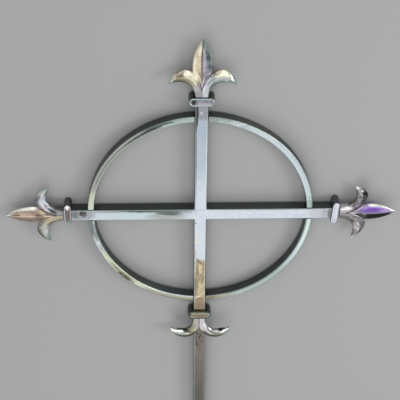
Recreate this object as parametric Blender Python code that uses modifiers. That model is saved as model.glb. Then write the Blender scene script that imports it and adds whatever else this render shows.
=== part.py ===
"""Forged steel ring cross with fleur-de-lis ends, lying on its back.

Metres, +Z up. +Y runs up the shaft and +X to the right of someone who faces the front of the cross,
which looks up. The origin is on the floor under the middle of the outline. The cross rests on the
backs of its four collars.
"""
import math

import bmesh
import bpy
from mathutils import Matrix, Vector

MM = 0.001

# Touching pieces keep this much air between them.
GAP = 0.3 * MM

# The square bar of the upright and the crossbar, and the rounding of its long edges.
BAR = 12.0 * MM
BAR_EDGE = 0.9 * MM

# The ring: flat bar on edge, bent to a circle and cut in quarters. The radius is the outside one.
RING_RADIUS = 110.2 * MM
RING_THICKNESS = 6.2 * MM
RING_RECESS = 0.5 * MM
RING_EDGE = 0.7 * MM
RING_STEPS = 22

# The clear length of bar between the ring's outside and the near face of each collar, and from the
# crossing's middle to the foot end of the shaft.
TOP_CLEAR = 11.2 * MM
LEFT_CLEAR = 14.7 * MM
RIGHT_CLEAR = 17.5 * MM
BOTTOM_CLEAR = 13.2 * MM
FOOT_REACH = 340.0 * MM

# The collars: the length along the bar, the cheek beside it, how far they stand proud in front and
# behind, the radius of their ends and the rounding of their rims.
COLLAR_LENGTH = 9.0 * MM
COLLAR_CHEEK = 6.3 * MM
COLLAR_PROUD = 2.0 * MM
COLLAR_END_RADIUS = 3.7 * MM
COLLAR_RIM = 1.5 * MM

# The right collar was driven on slightly askew.
RIGHT_COLLAR_SKEW = math.radians(-4.0)

# The spear blades, measured from the outer face of the collar.
SPEAR_LENGTH = 56.2 * MM
SPEAR_WIDEST_AT = 30.0 * MM
SPEAR_HALF_WIDTH = 9.2 * MM
SPEAR_BELLY = 29.0 * MM
SPEAR_BASE_HALF_WIDTH = 0.5 * MM
SPEAR_TIP_HALF_WIDTH = 0.3 * MM
SPEAR_STEPS_BELOW = 6
SPEAR_STEPS_ABOVE = 10

# Spears and leaves share a middle plane in front of the bars' own, a ridge and a blunt edge.
BLADE_FORWARD = 2.8 * MM
BLADE_RIDGE = 3.5 * MM
BLADE_EDGE = 1.6 * MM
FACET_CROWN = 0.25 * MM

# A stem is half as wide as the bar and shallower, with its corners eased and a short straight neck.
STEM_DEPTH = 8.5 * MM
STEM_EASE = 1.1 * MM
STEM_NECK = 1.0 * MM

# The leaves of the three free ends: where they part, their crest, their hollow and their tip.
LEAF_PART_UP = 5.0 * MM
LEAF_CREST_OUT = 16.0 * MM
LEAF_CREST_UP = 25.6 * MM
LEAF_HOLLOW_OUT = 20.0 * MM
LEAF_HOLLOW_UP = 13.6 * MM
LEAF_SPAN = 31.8 * MM
LEAF_TIP_UP = 11.6 * MM

# The pair under the bottom collar: thinner, and laid on the front of the shaft.
FOOT_LEAF_PART_UP = 7.0 * MM
FOOT_LEAF_CREST_OUT = 15.0 * MM
FOOT_LEAF_CREST_UP = 25.4 * MM
FOOT_LEAF_HOLLOW_OUT = 19.0 * MM
FOOT_LEAF_HOLLOW_UP = 16.2 * MM
FOOT_LEAF_SPAN = 31.2 * MM
FOOT_LEAF_TIP_UP = 14.2 * MM
FOOT_LEAF_STEM = 2.6 * MM
FOOT_LEAF_RIDGE = 4.4 * MM
FOOT_LEAF_BACK = 3.0 * MM

# Both kinds of leaf.
LEAF_TIP_BLUNT = 0.7 * MM
LEAF_FULL_WIDTH = 9.0 * MM
LEAF_STEPS = 8

# What follows from the sizes above.
HALF_BAR = BAR / 2
COLLAR_HOLE = HALF_BAR + GAP
BLADE_SLOPE = (BLADE_RIDGE - BLADE_EDGE / 2) / SPEAR_HALF_WIDTH
TOP_REACH = RING_RADIUS + TOP_CLEAR
LEFT_REACH = RING_RADIUS + LEFT_CLEAR
RIGHT_REACH = RING_RADIUS + RIGHT_CLEAR
BOTTOM_REACH = RING_RADIUS + BOTTOM_CLEAR
LEFT_END = LEFT_REACH + COLLAR_LENGTH + SPEAR_LENGTH
RIGHT_END = RIGHT_REACH + COLLAR_LENGTH + SPEAR_LENGTH
TOP_END = TOP_REACH + COLLAR_LENGTH + SPEAR_LENGTH
CROSSING = Vector(((LEFT_END - RIGHT_END) / 2, (FOOT_REACH - TOP_END) / 2, HALF_BAR + COLLAR_PROUD))


def clear_scene():
    """Remove every object that the file holds."""
    for thing in list(bpy.data.objects):
        bpy.data.objects.remove(thing, do_unlink=True)


def new_collection(name):
    collection = bpy.data.collections.new(name)
    bpy.context.scene.collection.children.link(collection)
    return collection


def steel(name, color, roughness):
    """A steel material with its own tint and polish."""
    material = bpy.data.materials.new(name)
    material.use_nodes = True
    shader = material.node_tree.nodes["Principled BSDF"]
    shader.inputs["Base Color"].default_value = (*color, 1.0)
    shader.inputs["Roughness"].default_value = roughness
    shader.inputs["Metallic"].default_value = 1.0
    return material


def bar_steel():
    return steel("bar_steel", (0.74, 0.75, 0.79), 0.28)


def ring_steel():
    return steel("ring_steel", (0.66, 0.69, 0.66), 0.30)


def collar_steel():
    return steel("collar_steel", (0.62, 0.57, 0.58), 0.32)


def blade_steel():
    return steel("blade_steel", (0.72, 0.66, 0.52), 0.26)


def leaf_steel():
    return steel("leaf_steel", (0.70, 0.68, 0.62), 0.26)


def finish(shape, name, material, collection, parent, place=(0, 0, 0), turn=0.0):
    """Turn a bmesh into a named object at its place under the crossing."""
    mesh = bpy.data.meshes.new(name)
    bmesh.ops.recalc_face_normals(shape, faces=shape.faces)
    shape.to_mesh(mesh)
    shape.free()
    mesh.shade_smooth()
    mesh.set_sharp_from_angle(angle=math.radians(25))
    mesh.materials.append(material)
    thing = bpy.data.objects.new(name, mesh)
    collection.objects.link(thing)
    thing.parent = parent
    thing.location = place
    thing.rotation_euler = (0, 0, turn)
    return thing


def box(low, high):
    """A box between two corners."""
    shape = bmesh.new()
    bmesh.ops.create_cube(shape, size=1.0)
    size = Vector(high) - Vector(low)
    middle = (Vector(high) + Vector(low)) / 2
    bmesh.ops.scale(shape, vec=size, verts=shape.verts)
    bmesh.ops.translate(shape, vec=middle, verts=shape.verts)
    return shape


def round_edges(thing, width, segments, angle=math.radians(50)):
    bevel = thing.modifiers.new("rounded edges", "BEVEL")
    bevel.width = width
    bevel.segments = segments
    bevel.limit_method = "ANGLE"
    bevel.angle_limit = angle


def cut(thing, cutter):
    """Take the cutter's shape out of a piece."""
    boolean = thing.modifiers.new("cut " + cutter.name, "BOOLEAN")
    boolean.operation = "DIFFERENCE"
    boolean.solver = "EXACT"
    boolean.object = cutter


def add_cutter(name, low, high, cutters, parent, place=(0, 0, 0), turn=0.0):
    mesh = bpy.data.meshes.new(name)
    shape = box(low, high)
    shape.to_mesh(mesh)
    shape.free()
    cutter = bpy.data.objects.new(name, mesh)
    cutters.objects.link(cutter)
    cutter.parent = parent
    cutter.location = place
    cutter.rotation_euler = (0, 0, turn)
    cutter.hide_render = True
    cutter.display_type = "WIRE"
    return cutter


def add_bars(parts, cutters, parent):
    """The upright and the crossbar, each halved where they cross."""
    material = bar_steel()
    upright_shape = box((-HALF_BAR, -FOOT_REACH, -HALF_BAR), (HALF_BAR, TOP_REACH + COLLAR_LENGTH, HALF_BAR))
    upright = finish(upright_shape, "upright", material, parts, parent)
    crossbar_shape = box((-LEFT_REACH - COLLAR_LENGTH, -HALF_BAR, -HALF_BAR),
                         (RIGHT_REACH + COLLAR_LENGTH, HALF_BAR, HALF_BAR))
    crossbar = finish(crossbar_shape, "crossbar", material, parts, parent)
    side = HALF_BAR + GAP
    back = add_cutter("upright_notch", (-BAR, -side, -BAR), (BAR, side, GAP / 2), cutters, parent)
    front = add_cutter("crossbar_notch", (-side, -BAR, -GAP / 2), (side, BAR, BAR), cutters, parent)
    for piece, notch in ((upright, back), (crossbar, front)):
        round_edges(piece, BAR_EDGE, 2)
        cut(piece, notch)


def ring_section():
    """Corners of the ring's section as (radius, height), with eased edges."""
    inner = RING_RADIUS - RING_THICKNESS
    half_depth = HALF_BAR - RING_RECESS
    ease = RING_EDGE
    return ((inner, -half_depth + ease), (inner, half_depth - ease),
            (inner + ease, half_depth), (RING_RADIUS - ease, half_depth),
            (RING_RADIUS, half_depth - ease), (RING_RADIUS, -half_depth + ease),
            (RING_RADIUS - ease, -half_depth), (inner + ease, -half_depth))


def loft(sections):
    """A closed skin over a row of sections with the same number of corners."""
    shape = bmesh.new()
    rings = [[shape.verts.new(corner) for corner in section] for section in sections]
    count = len(rings[0])
    for near, far in zip(rings, rings[1:]):
        for i in range(count):
            j = (i + 1) % count
            shape.faces.new((near[i], near[j], far[j], far[i]))
    shape.faces.new(rings[0])
    shape.faces.new(rings[-1])
    return shape


def quarter_of_ring(turn):
    """One arc, whose ends lie flat along the sides of the two bars."""
    side = HALF_BAR + GAP
    sections = []
    for step in range(RING_STEPS + 1):
        share = step / RING_STEPS
        section = []
        for radius, height in ring_section():
            first = math.asin(side / radius)
            angle = turn + first + share * (math.pi / 2 - 2 * first)
            section.append((radius * math.cos(angle), radius * math.sin(angle), height))
        sections.append(section)
    return loft(sections)


def add_ring(parts, parent):
    material = ring_steel()
    for index, quarter in enumerate(("upper_right", "upper_left", "lower_left", "lower_right")):
        shape = quarter_of_ring(index * math.pi / 2)
        finish(shape, "ring_" + quarter, material, parts, parent)


def collar_shape(front):
    """A band across the bar: rounded ends seen from the front, flat faces in front and behind."""
    half = COLLAR_HOLE + COLLAR_CHEEK
    shape = box((-half, 0, -HALF_BAR - COLLAR_PROUD), (half, COLLAR_LENGTH, front + COLLAR_PROUD))
    ends = [edge for edge in shape.edges if abs(edge.verts[0].co.z - edge.verts[1].co.z) > COLLAR_LENGTH]
    bmesh.ops.bevel(shape, geom=ends, offset=COLLAR_END_RADIUS, segments=5, profile=0.5, affect="EDGES")
    return shape


def add_collar(name, place, turn, front, material, parts, cutters, parent, skew=0.0):
    """A collar round what it holds, whose front face lies at the given height. Its hole stays square."""
    shape = collar_shape(front)
    middle = Vector((0, COLLAR_LENGTH / 2, 0))
    bmesh.ops.rotate(shape, cent=middle, matrix=Matrix.Rotation(skew, 3, "Z"), verts=shape.verts)
    collar = finish(shape, name, material, parts, parent, place, turn)
    round_edges(collar, COLLAR_RIM, 3)
    hole = add_cutter(name + "_hole", (-COLLAR_HOLE, -COLLAR_LENGTH, -COLLAR_HOLE),
                      (COLLAR_HOLE, 2 * COLLAR_LENGTH, front + GAP), cutters, parent, place, turn)
    cut(collar, hole)


def bezier(start, first, second, end, share):
    """A point on a cubic curve in the plane of the front."""
    rest = 1 - share
    return tuple(a * rest ** 3 + 3 * b * share * rest ** 2 + 3 * c * share ** 2 * rest + d * share ** 3
                 for a, b, c, d in zip(start, first, second, end))


class LeafPattern:
    """The outline of one kind of leaf, for the side at +X, from the collar at 0 to the tip at 1."""

    def __init__(self, part_up, crest, hollow, tip):
        root = (GAP / 2, part_up)
        tip_top = (tip[0], tip[1] + LEAF_TIP_BLUNT / 2)
        tip_bottom = (tip[0], tip[1] - LEAF_TIP_BLUNT / 2)
        past_crest = tip[0] - crest[0]
        past_hollow = tip[0] - hollow[0]
        neck = (HALF_BAR, STEM_NECK)
        flare = hollow[0] - HALF_BAR
        rise = crest[1] - part_up
        self.convex = (
            (root, (root[0] + 0.05 * crest[0], part_up + 0.5 * rise), (0.5 * crest[0], crest[1]), crest),
            (crest, (crest[0] + 0.5 * past_crest, crest[1]),
             (tip[0] - 0.15 * past_crest, tip[1] + 0.46 * (crest[1] - tip[1])), tip_top))
        self.concave = (
            (neck, (neck[0] + 0.03 * flare, 0.6 * hollow[1]), (neck[0] + 0.45 * flare, hollow[1]), hollow),
            (hollow, (hollow[0] + 0.42 * past_hollow, hollow[1]),
             (tip[0] - 0.24 * past_hollow, tip[1] + 0.55 * (hollow[1] - tip[1])), tip_bottom))

    def edge(self, curves, share):
        """A point on an edge made of two curves."""
        if share < 0.5:
            return bezier(*curves[0], 2 * share)
        return bezier(*curves[1], 2 * share - 1)

    def sides(self, share):
        return self.edge(self.convex, share), self.edge(self.concave, share)

    def inner_width(self, up):
        """How far the convex edge is from the axis at a height below the crest."""
        low, high = 0.0, 0.5
        for _ in range(40):
            middle = (low + high) / 2
            if self.edge(self.convex, middle)[1] < up:
                low = middle
            else:
                high = middle
        return self.edge(self.convex, high)[0]


def end_leaf():
    return LeafPattern(LEAF_PART_UP, (LEAF_CREST_OUT, LEAF_CREST_UP),
                       (LEAF_HOLLOW_OUT, LEAF_HOLLOW_UP), (LEAF_SPAN, LEAF_TIP_UP))


def foot_leaf():
    return LeafPattern(FOOT_LEAF_PART_UP, (FOOT_LEAF_CREST_OUT, FOOT_LEAF_CREST_UP),
                       (FOOT_LEAF_HOLLOW_OUT, FOOT_LEAF_HOLLOW_UP), (FOOT_LEAF_SPAN, FOOT_LEAF_TIP_UP))


def mix(first, second, share):
    return first + (second - first) * share


def ease_in(value, low, high):
    """0 below low, 1 above high and a smooth rise between them."""
    share = min(max((value - low) / (high - low), 0.0), 1.0)
    return share * share * (3 - 2 * share)


def ridged_section(convex, concave, front_edge, front_ridge, back_edge, back_ridge):
    """Ten corners: two facets with a ridge in front, two behind, and a blunt edge on both sides."""
    section = []
    for edge, ridge, crown, order in ((front_edge, front_ridge, FACET_CROWN, (0, 0.25, 0.5, 0.75, 1)),
                                      (back_edge, back_ridge, -FACET_CROWN, (1, 0.75, 0.5, 0.25, 0))):
        for across in order:
            rise = 1 - abs(2 * across - 1)
            height = mix(edge, ridge, rise) + (crown if rise == 0.5 else 0.0)
            section.append((mix(convex[0], concave[0], across), mix(convex[1], concave[1], across), height))
    return section


def end_leaf_levels(share, width):
    """Front edge, front ridge, back edge and back ridge of a leaf at a free end."""
    taper = min(1.0, width / LEAF_FULL_WIDTH) ** 0.8
    leafy = ease_in(share, 0.0, 0.36)
    edge = BLADE_EDGE / 2 * taper
    ridge = BLADE_RIDGE * taper
    stem_back = HALF_BAR - STEM_DEPTH
    return (mix(HALF_BAR - STEM_EASE, BLADE_FORWARD + edge, leafy), mix(HALF_BAR, BLADE_FORWARD + ridge, leafy),
            mix(stem_back + STEM_EASE, BLADE_FORWARD - edge, leafy), mix(stem_back, BLADE_FORWARD - ridge, leafy))


def foot_leaf_levels(share, width):
    """The same for a leaf that lies on the front of the shaft and thickens once it is past its side."""
    taper = min(1.0, width / LEAF_FULL_WIDTH) ** 0.8
    leafy = ease_in(share, 0.0, 0.40)
    past_shaft = ease_in(share, 0.36, 0.56)
    base = HALF_BAR + GAP
    front_edge = mix(base + FOOT_LEAF_STEM - STEM_EASE, base + BLADE_EDGE * taper, leafy)
    front_ridge = base + mix(FOOT_LEAF_STEM, FOOT_LEAF_RIDGE * taper, leafy)
    back = base - FOOT_LEAF_BACK * past_shaft * taper
    return front_edge, front_ridge, mix(base, base - BLADE_EDGE / 2, past_shaft), back


def leaf_shape(pattern, levels, side, root_up):
    """A curled leaf on its stem. side is 1 for the leaf at +X and -1 for the one at -X."""
    root, neck = (GAP / 2, root_up), (HALF_BAR, root_up)
    sections = [ridged_section(root, neck, *levels(0.0, LEAF_FULL_WIDTH))]
    for step in range(2 * LEAF_STEPS + 1):
        share = step / (2 * LEAF_STEPS)
        convex, concave = pattern.sides(share)
        width = math.dist(convex, concave)
        sections.append(ridged_section(convex, concave, *levels(share, width)))
    return loft([[(side * x, y, z) for x, y, z in section] for section in sections])


def spear_half_width(up, leaf):
    """Half the spear's width at a height: a blade above, wedged between the leaves below."""
    if up >= SPEAR_WIDEST_AT:
        share = (up - SPEAR_WIDEST_AT) / (SPEAR_LENGTH - SPEAR_WIDEST_AT)
        low, high = 0.0, 1.0
        length = SPEAR_LENGTH - SPEAR_WIDEST_AT
        curve = ((SPEAR_HALF_WIDTH, 0.0), (SPEAR_HALF_WIDTH, 0.38 * length),
                 (0.5 * SPEAR_HALF_WIDTH, 0.75 * length), (SPEAR_TIP_HALF_WIDTH, length))
        for _ in range(40):
            middle = (low + high) / 2
            if bezier(*curve, middle)[1] < share * length:
                low = middle
            else:
                high = middle
        return bezier(*curve, high)[0]
    blade = SPEAR_HALF_WIDTH * math.cos((SPEAR_WIDEST_AT - up) / SPEAR_BELLY)
    if up < LEAF_CREST_UP:
        return min(blade, leaf.inner_width(up) - GAP)
    return blade


def spear_start(leaf):
    """The height at which the gap between the leaves is wide enough for the spear's root."""
    low, high = LEAF_PART_UP, LEAF_CREST_UP
    for _ in range(40):
        middle = (low + high) / 2
        if leaf.inner_width(middle) - GAP < SPEAR_BASE_HALF_WIDTH:
            low = middle
        else:
            high = middle
    return high


def spear_shape(leaf):
    """A ridged blade, narrow between the leaves, widest above them and pointed at the tip."""
    start = spear_start(leaf)
    heights = [mix(start, LEAF_CREST_UP, step / SPEAR_STEPS_BELOW) for step in range(SPEAR_STEPS_BELOW)]
    heights += [mix(LEAF_CREST_UP, SPEAR_WIDEST_AT, step / 2) for step in range(2)]
    heights += [mix(SPEAR_WIDEST_AT, SPEAR_LENGTH, math.sin(math.pi / 2 * step / SPEAR_STEPS_ABOVE))
                for step in range(SPEAR_STEPS_ABOVE + 1)]
    sections = []
    for up in heights:
        half = spear_half_width(up, leaf)
        rise = BLADE_SLOPE * (half if up > SPEAR_WIDEST_AT else SPEAR_HALF_WIDTH)
        ridge = BLADE_EDGE / 2 + rise
        edge = ridge - BLADE_SLOPE * half
        sections.append(ridged_section((-half, up), (half, up), BLADE_FORWARD + edge, BLADE_FORWARD + ridge,
                                       BLADE_FORWARD - edge, BLADE_FORWARD - ridge))
    return loft(sections)


def add_free_end(side_name, reach, turn, leaf_names, parts, cutters, parent, finishes, skew=0.0):
    """A collar round one end of a bar, and the spear and two leaves that stand on that end."""
    away = Vector((-math.sin(turn), math.cos(turn), 0))
    leaf = end_leaf()
    add_collar("collar_" + side_name, away * reach, turn, HALF_BAR, finishes["collar"], parts, cutters, parent,
               skew)
    place = away * (reach + COLLAR_LENGTH)
    finish(spear_shape(leaf), "spear_" + side_name, finishes["blade"], parts, parent, place, turn)
    for side, leaf_name in zip((1, -1), leaf_names):
        shape = leaf_shape(leaf, end_leaf_levels, side, GAP)
        finish(shape, "leaf_" + leaf_name, finishes["leaf"], parts, parent, place, turn)


def add_foot_leaves(parts, cutters, parent, finishes):
    """The bottom collar and the pair of leaves that it holds against the front of the shaft."""
    turn = math.pi
    front = HALF_BAR + GAP + FOOT_LEAF_STEM
    add_collar("collar_bottom", (0, -BOTTOM_REACH, 0), turn, front, finishes["collar"], parts, cutters, parent)
    place = (0, -BOTTOM_REACH - COLLAR_LENGTH, 0)
    for side, name in ((1, "leaf_bottom_left"), (-1, "leaf_bottom_right")):
        shape = leaf_shape(foot_leaf(), foot_leaf_levels, side, -COLLAR_LENGTH / 2)
        finish(shape, name, finishes["leaf"], parts, parent, place, turn)


def build():
    clear_scene()
    parts = new_collection("ring_cross")
    cutters = new_collection("cutters")
    crossing = bpy.data.objects.new("crossing", None)
    parts.objects.link(crossing)
    crossing.location = CROSSING
    finishes = {"collar": collar_steel(), "blade": blade_steel(), "leaf": leaf_steel()}
    add_bars(parts, cutters, crossing)
    add_ring(parts, crossing)
    add_free_end("top", TOP_REACH, 0.0, ("top_right", "top_left"), parts, cutters, crossing, finishes)
    add_free_end("left", LEFT_REACH, math.pi / 2, ("left_upper", "left_lower"), parts, cutters, crossing,
                 finishes)
    add_free_end("right", RIGHT_REACH, -math.pi / 2, ("right_lower", "right_upper"), parts, cutters, crossing,
                 finishes, RIGHT_COLLAR_SKEW)
    add_foot_leaves(parts, cutters, crossing, finishes)


build()
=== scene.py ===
"""Looks of a forged steel ring cross with fleur-de-lis ends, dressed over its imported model.

The row frame is in metres: +Y runs up the shaft, +X to the right of someone who faces the front, and +Z
out of the front. Sizes below are in millimetres, and places on the cross are measured from the middle of
the crossing, on the front face of the bars.
"""
import logging
import math
from dataclasses import dataclass
from enum import Enum
from typing import Callable, Optional, Sequence

import bmesh
import bpy
import numpy as np
from mathutils import Matrix, Vector, noise


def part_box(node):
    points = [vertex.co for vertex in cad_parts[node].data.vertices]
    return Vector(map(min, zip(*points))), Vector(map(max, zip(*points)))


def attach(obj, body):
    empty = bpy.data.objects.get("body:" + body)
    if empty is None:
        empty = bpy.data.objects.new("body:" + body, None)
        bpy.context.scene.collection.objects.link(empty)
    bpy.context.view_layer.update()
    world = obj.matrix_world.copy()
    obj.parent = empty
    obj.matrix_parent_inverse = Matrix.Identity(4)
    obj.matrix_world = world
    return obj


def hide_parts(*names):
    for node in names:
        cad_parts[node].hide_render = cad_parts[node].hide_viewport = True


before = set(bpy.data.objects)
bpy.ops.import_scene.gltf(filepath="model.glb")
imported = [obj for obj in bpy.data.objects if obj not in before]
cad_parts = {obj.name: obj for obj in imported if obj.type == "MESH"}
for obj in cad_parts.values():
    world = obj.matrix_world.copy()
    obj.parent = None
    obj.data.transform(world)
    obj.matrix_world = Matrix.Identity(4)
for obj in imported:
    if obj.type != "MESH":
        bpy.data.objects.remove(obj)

MM = 0.001
LOG = logging.getLogger("ring_cross")
Pair = tuple[float, float]
Socket = bpy.types.NodeSocket
Tree = bpy.types.NodeTree
Piece = bpy.types.Object
BODY = "root"
NOISE_SEED = 5
SEAT_AIR = 0.3
QUARTER_TURNS = ((1, 0), (0, 1), (-1, 0), (0, -1))  # cosine and sine
BLADE_UNEVENNESS = 0.10
CREASE, COLLAR_CREASE, BLADE_CREASE = 35.0, 50.0, 60.0
ARC_END = ((0.0, 0.5), (0.12, 0.15), (0.5, 0.0))  # how far in from the end of an arc, and how much smaller there
MIX_SHARE, MIX_FIRST, MIX_SECOND, MIX_COLOUR = 0, 6, 7, 2  # the colour sockets of a mix node


class Tint(Enum):
    """Colours of the steel, as red, green and blue from 0 to 255."""

    SILVER = (184, 192, 198)
    COOL_SILVER = (168, 182, 184)
    LILAC_SILVER = (180, 186, 196)
    HAZE = (158, 168, 177)
    STEEL_BLUE = (146, 158, 170)
    GREEN_SILVER = (196, 212, 204)
    GREEN_WHITE = (234, 244, 230)
    WHITE = (252, 252, 246)
    BLUE_WHITE = (232, 240, 250)
    PALE_LILAC = (206, 202, 214)
    ASH = (162, 158, 162)
    COOL_ASH = (154, 160, 160)
    MIST = (160, 164, 156)
    PEARL = (184, 176, 178)
    STONE = (142, 140, 134)
    DRAB = (126, 122, 108)
    GREY = (132, 132, 138)
    LILAC_SHADE = (118, 110, 126)
    DULL_GREY = (94, 102, 98)
    WARM_GREY = (112, 106, 100)
    SHAFT_GREY = (86, 82, 77)
    CREAM = (250, 244, 220)
    SAND = (214, 200, 174)
    BUFF = (190, 174, 148)
    FAWN = (176, 162, 140)
    STRAW = (150, 138, 116)
    PALE_KHAKI = (178, 184, 164)
    KHAKI = (146, 144, 124)
    OLIVE = (118, 118, 98)
    OLIVE_GREY = (114, 120, 108)
    GREEN_GREY = (142, 158, 148)
    SHADE_GREEN = (88, 100, 86)
    DEEP_SHADE_GREEN = (48, 60, 55)
    UMBER = (118, 103, 88)
    TAN = (168, 150, 136)
    ROSE_TAN = (188, 168, 152)
    TAUPE = (104, 99, 96)
    CHARCOAL = (66, 68, 73)
    MAUVE = (98, 88, 88)
    DARK_BROWN = (78, 70, 56)
    SLATE = (70, 82, 80)
    VIOLET = (156, 114, 222)
    ORCHID = (206, 172, 252)
    DEEP_VIOLET = (142, 126, 168)
    PINK = (236, 216, 250)
    # Painted shade for the sides of the pieces.
    SCALE = (88, 92, 92)
    BLACK = (44, 50, 44)

    @property
    def linear(self) -> tuple[float, float, float, float]:
        """The colour as a shader takes it."""
        parts = [part / 255 for part in self.value]
        return (*[p / 12.92 if p <= 0.04045 else ((p + 0.055) / 1.055) ** 2.4 for p in parts], 1.0)


@dataclass(frozen=True)
class Layout:
    """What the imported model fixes, in metres.

    Attributes:
        crossing: The middle of the crossing on the front face of the bars.
        half_bar: Half the thickness of the square bar.
        top: From the crossing to the outer face of the top collar.
        left: The same for the left collar.
        right: The same for the right collar.
        bottom: The same for the bottom collar.
        foot: From the crossing to the foot end of the shaft.
        ring_side: From the middle of a bar to the end of a ring arc.
        ring_radius: The outside radius of the ring.
    """

    crossing: Vector
    half_bar: float
    top: float
    left: float
    right: float
    bottom: float
    foot: float
    ring_side: float
    ring_radius: float

    @classmethod
    def read(cls) -> "Layout":
        """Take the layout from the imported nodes.

        Returns:
            The layout of this cross.
        """
        upright_low, upright_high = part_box("upright")
        bar_low, bar_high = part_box("crossbar")
        arc_low, arc_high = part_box("ring_upper_right")
        middle = Vector(((upright_low.x + upright_high.x) / 2, (bar_low.y + bar_high.y) / 2, upright_high.z))
        side = arc_low.x - middle.x
        return cls(
            crossing=middle,
            half_bar=(upright_high.x - upright_low.x) / 2,
            top=upright_high.y - middle.y,
            left=middle.x - bar_low.x,
            right=bar_high.x - middle.x,
            bottom=middle.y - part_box("collar_bottom")[0].y,
            foot=middle.y - upright_low.y,
            ring_side=side,
            ring_radius=math.hypot(arc_high.x - middle.x, side),
        )


@dataclass(frozen=True)
class Seat:
    """Where a piece stands: local +Y points away from the crossing.

    Attributes:
        layout: The layout of the cross.
        reach: How far from the crossing the local origin lies, in metres.
        turn: The angle from the cross's +Y to the local +Y, in radians.
    """

    layout: Layout
    reach: float
    turn: float

    def to_cross(self, x: float, y: float) -> tuple[float, float, float]:
        """Turn a local place into one measured from the crossing.

        Args:
            x: Across, in millimetres.
            y: Away from the crossing, in millimetres.

        Returns:
            The place in millimetres from the crossing.
        """
        out = y + self.reach / MM
        cos, sin = math.cos(self.turn), math.sin(self.turn)
        return x * cos - out * sin, x * sin + out * cos, 0.0

    def to_row(self, points: np.ndarray) -> np.ndarray:
        """Turn local points, in millimetres from the front face of the bars, into the row frame.

        Args:
            points: An array whose last axis is X, Y and Z.

        Returns:
            The points in metres.
        """
        cos, sin = math.cos(self.turn), math.sin(self.turn)
        x, y, z = points[..., 0] * MM, points[..., 1] * MM + self.reach, points[..., 2] * MM
        turned = np.stack((x * cos - y * sin, x * sin + y * cos, z), axis=-1)
        return turned + np.array(self.layout.crossing)


class Board:
    """The nodes of one tree, with short ways to add and join them."""

    def __init__(self, tree: Tree) -> None:
        """Work on a tree."""
        self.tree = tree
        self.count = 0

    def add(self, kind: str, **settings: object) -> bpy.types.Node:
        """Add a node and set its own options.

        Args:
            kind: The node's type name.
            settings: Options of the node.

        Returns:
            The new node.
        """
        made = self.tree.nodes.new(kind)
        made.location = (180 * (self.count // 6), -190 * (self.count % 6))
        self.count += 1
        for name, value in settings.items():
            setattr(made, name, value)
        return made

    def feed(self, socket: Socket, value: object) -> None:
        """Join a socket to another one, or set its value.

        Args:
            socket: The socket to feed.
            value: Another socket, or a value.
        """
        if isinstance(value, Socket):
            self.tree.links.new(value, socket)
        else:
            socket.default_value = value

    def math(self, operation: str, *values: object) -> Socket:
        """Add a math node.

        Args:
            operation: The name of the operation.
            values: Sockets or numbers.

        Returns:
            The result.
        """
        made = self.add("ShaderNodeMath", operation=operation)
        for socket, value in zip(made.inputs, values):
            self.feed(socket, value)
        return made.outputs[0]

    def vector(self, operation: str, *values: object) -> bpy.types.Node:
        """Add a vector math node.

        Args:
            operation: The name of the operation.
            values: Sockets or vectors.

        Returns:
            The node.
        """
        made = self.add("ShaderNodeVectorMath", operation=operation)
        for socket, value in zip(made.inputs, values):
            self.feed(socket, value)
        return made

    def step(self, value: object, low: object, high: object, to: Pair = (0.0, 1.0)) -> Socket:
        """A smooth step from one end of a range to the other.

        Args:
            value: What is looked at.
            low: Where the step starts.
            high: Where the step ends.
            to: What comes out at both ends.

        Returns:
            The result.
        """
        made = self.add("ShaderNodeMapRange", interpolation_type="SMOOTHSTEP")
        for name, given in (("Value", value), ("From Min", low), ("From Max", high),
                            ("To Min", to[0]), ("To Max", to[1])):
            self.feed(made.inputs[name], given)
        return made.outputs["Result"]

    def mix(self, share: object, first: object, second: object) -> Socket:
        """Mix two colours.

        Args:
            share: How much of the second one there is.
            first: The first colour.
            second: The second colour.

        Returns:
            The colour.
        """
        made = self.add("ShaderNodeMix", data_type="RGBA")
        for socket, value in ((MIX_SHARE, share), (MIX_FIRST, first), (MIX_SECOND, second)):
            self.feed(made.inputs[socket], value)
        return made.outputs[MIX_COLOUR]

    def cloud(self, position: object, scale: object, detail: float = 2.0) -> Socket:
        """Soft noise from 0 to 1 at a scale per millimetre.

        Args:
            position: The place.
            scale: The scale.
            detail: How many finer layers it has.

        Returns:
            The noise.
        """
        made = self.add("ShaderNodeTexNoise")
        self.feed(made.inputs["Vector"], position)
        self.feed(made.inputs["Scale"], scale)
        self.feed(made.inputs["Detail"], detail)
        return made.outputs["Fac"]

    def use(self, group: Tree, **values: object) -> bpy.types.Node:
        """Place a node group and feed its inputs.

        Args:
            group: The group.
            values: What each input gets, with _ for a space in its name.

        Returns:
            The group's node.
        """
        made = self.add("ShaderNodeGroup", node_tree=group)
        for name, value in values.items():
            self.feed(made.inputs[name.replace("_", " ")], value)
        return made


@dataclass(frozen=True)
class Plug:
    """One named input or output of a node group."""

    name: str
    kind: str = "Float"
    value: object = 0.0


def new_group(name: str, inputs: Sequence[Plug], outputs: Sequence[Plug]) -> tuple[Tree, Board, dict, dict]:
    """Make an empty shader node group.

    Args:
        name: The name of the group.
        inputs: Its inputs.
        outputs: Its outputs.

    Returns:
        The group, its board, the sockets to read from and the sockets to feed.
    """
    group = bpy.data.node_groups.new(name, "ShaderNodeTree")
    for plugs, way in ((inputs, "INPUT"), (outputs, "OUTPUT")):
        for plug in plugs:
            socket = group.interface.new_socket(plug.name, in_out=way, socket_type="NodeSocket" + plug.kind)
            if way == "INPUT":
                socket.default_value = plug.value
    board = Board(group)
    entry, leave = board.add("NodeGroupInput"), board.add("NodeGroupOutput")
    given = {plug.name: entry.outputs[plug.name] for plug in inputs}
    wanted = {plug.name: leave.inputs[plug.name] for plug in outputs}
    return group, board, given, wanted


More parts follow.
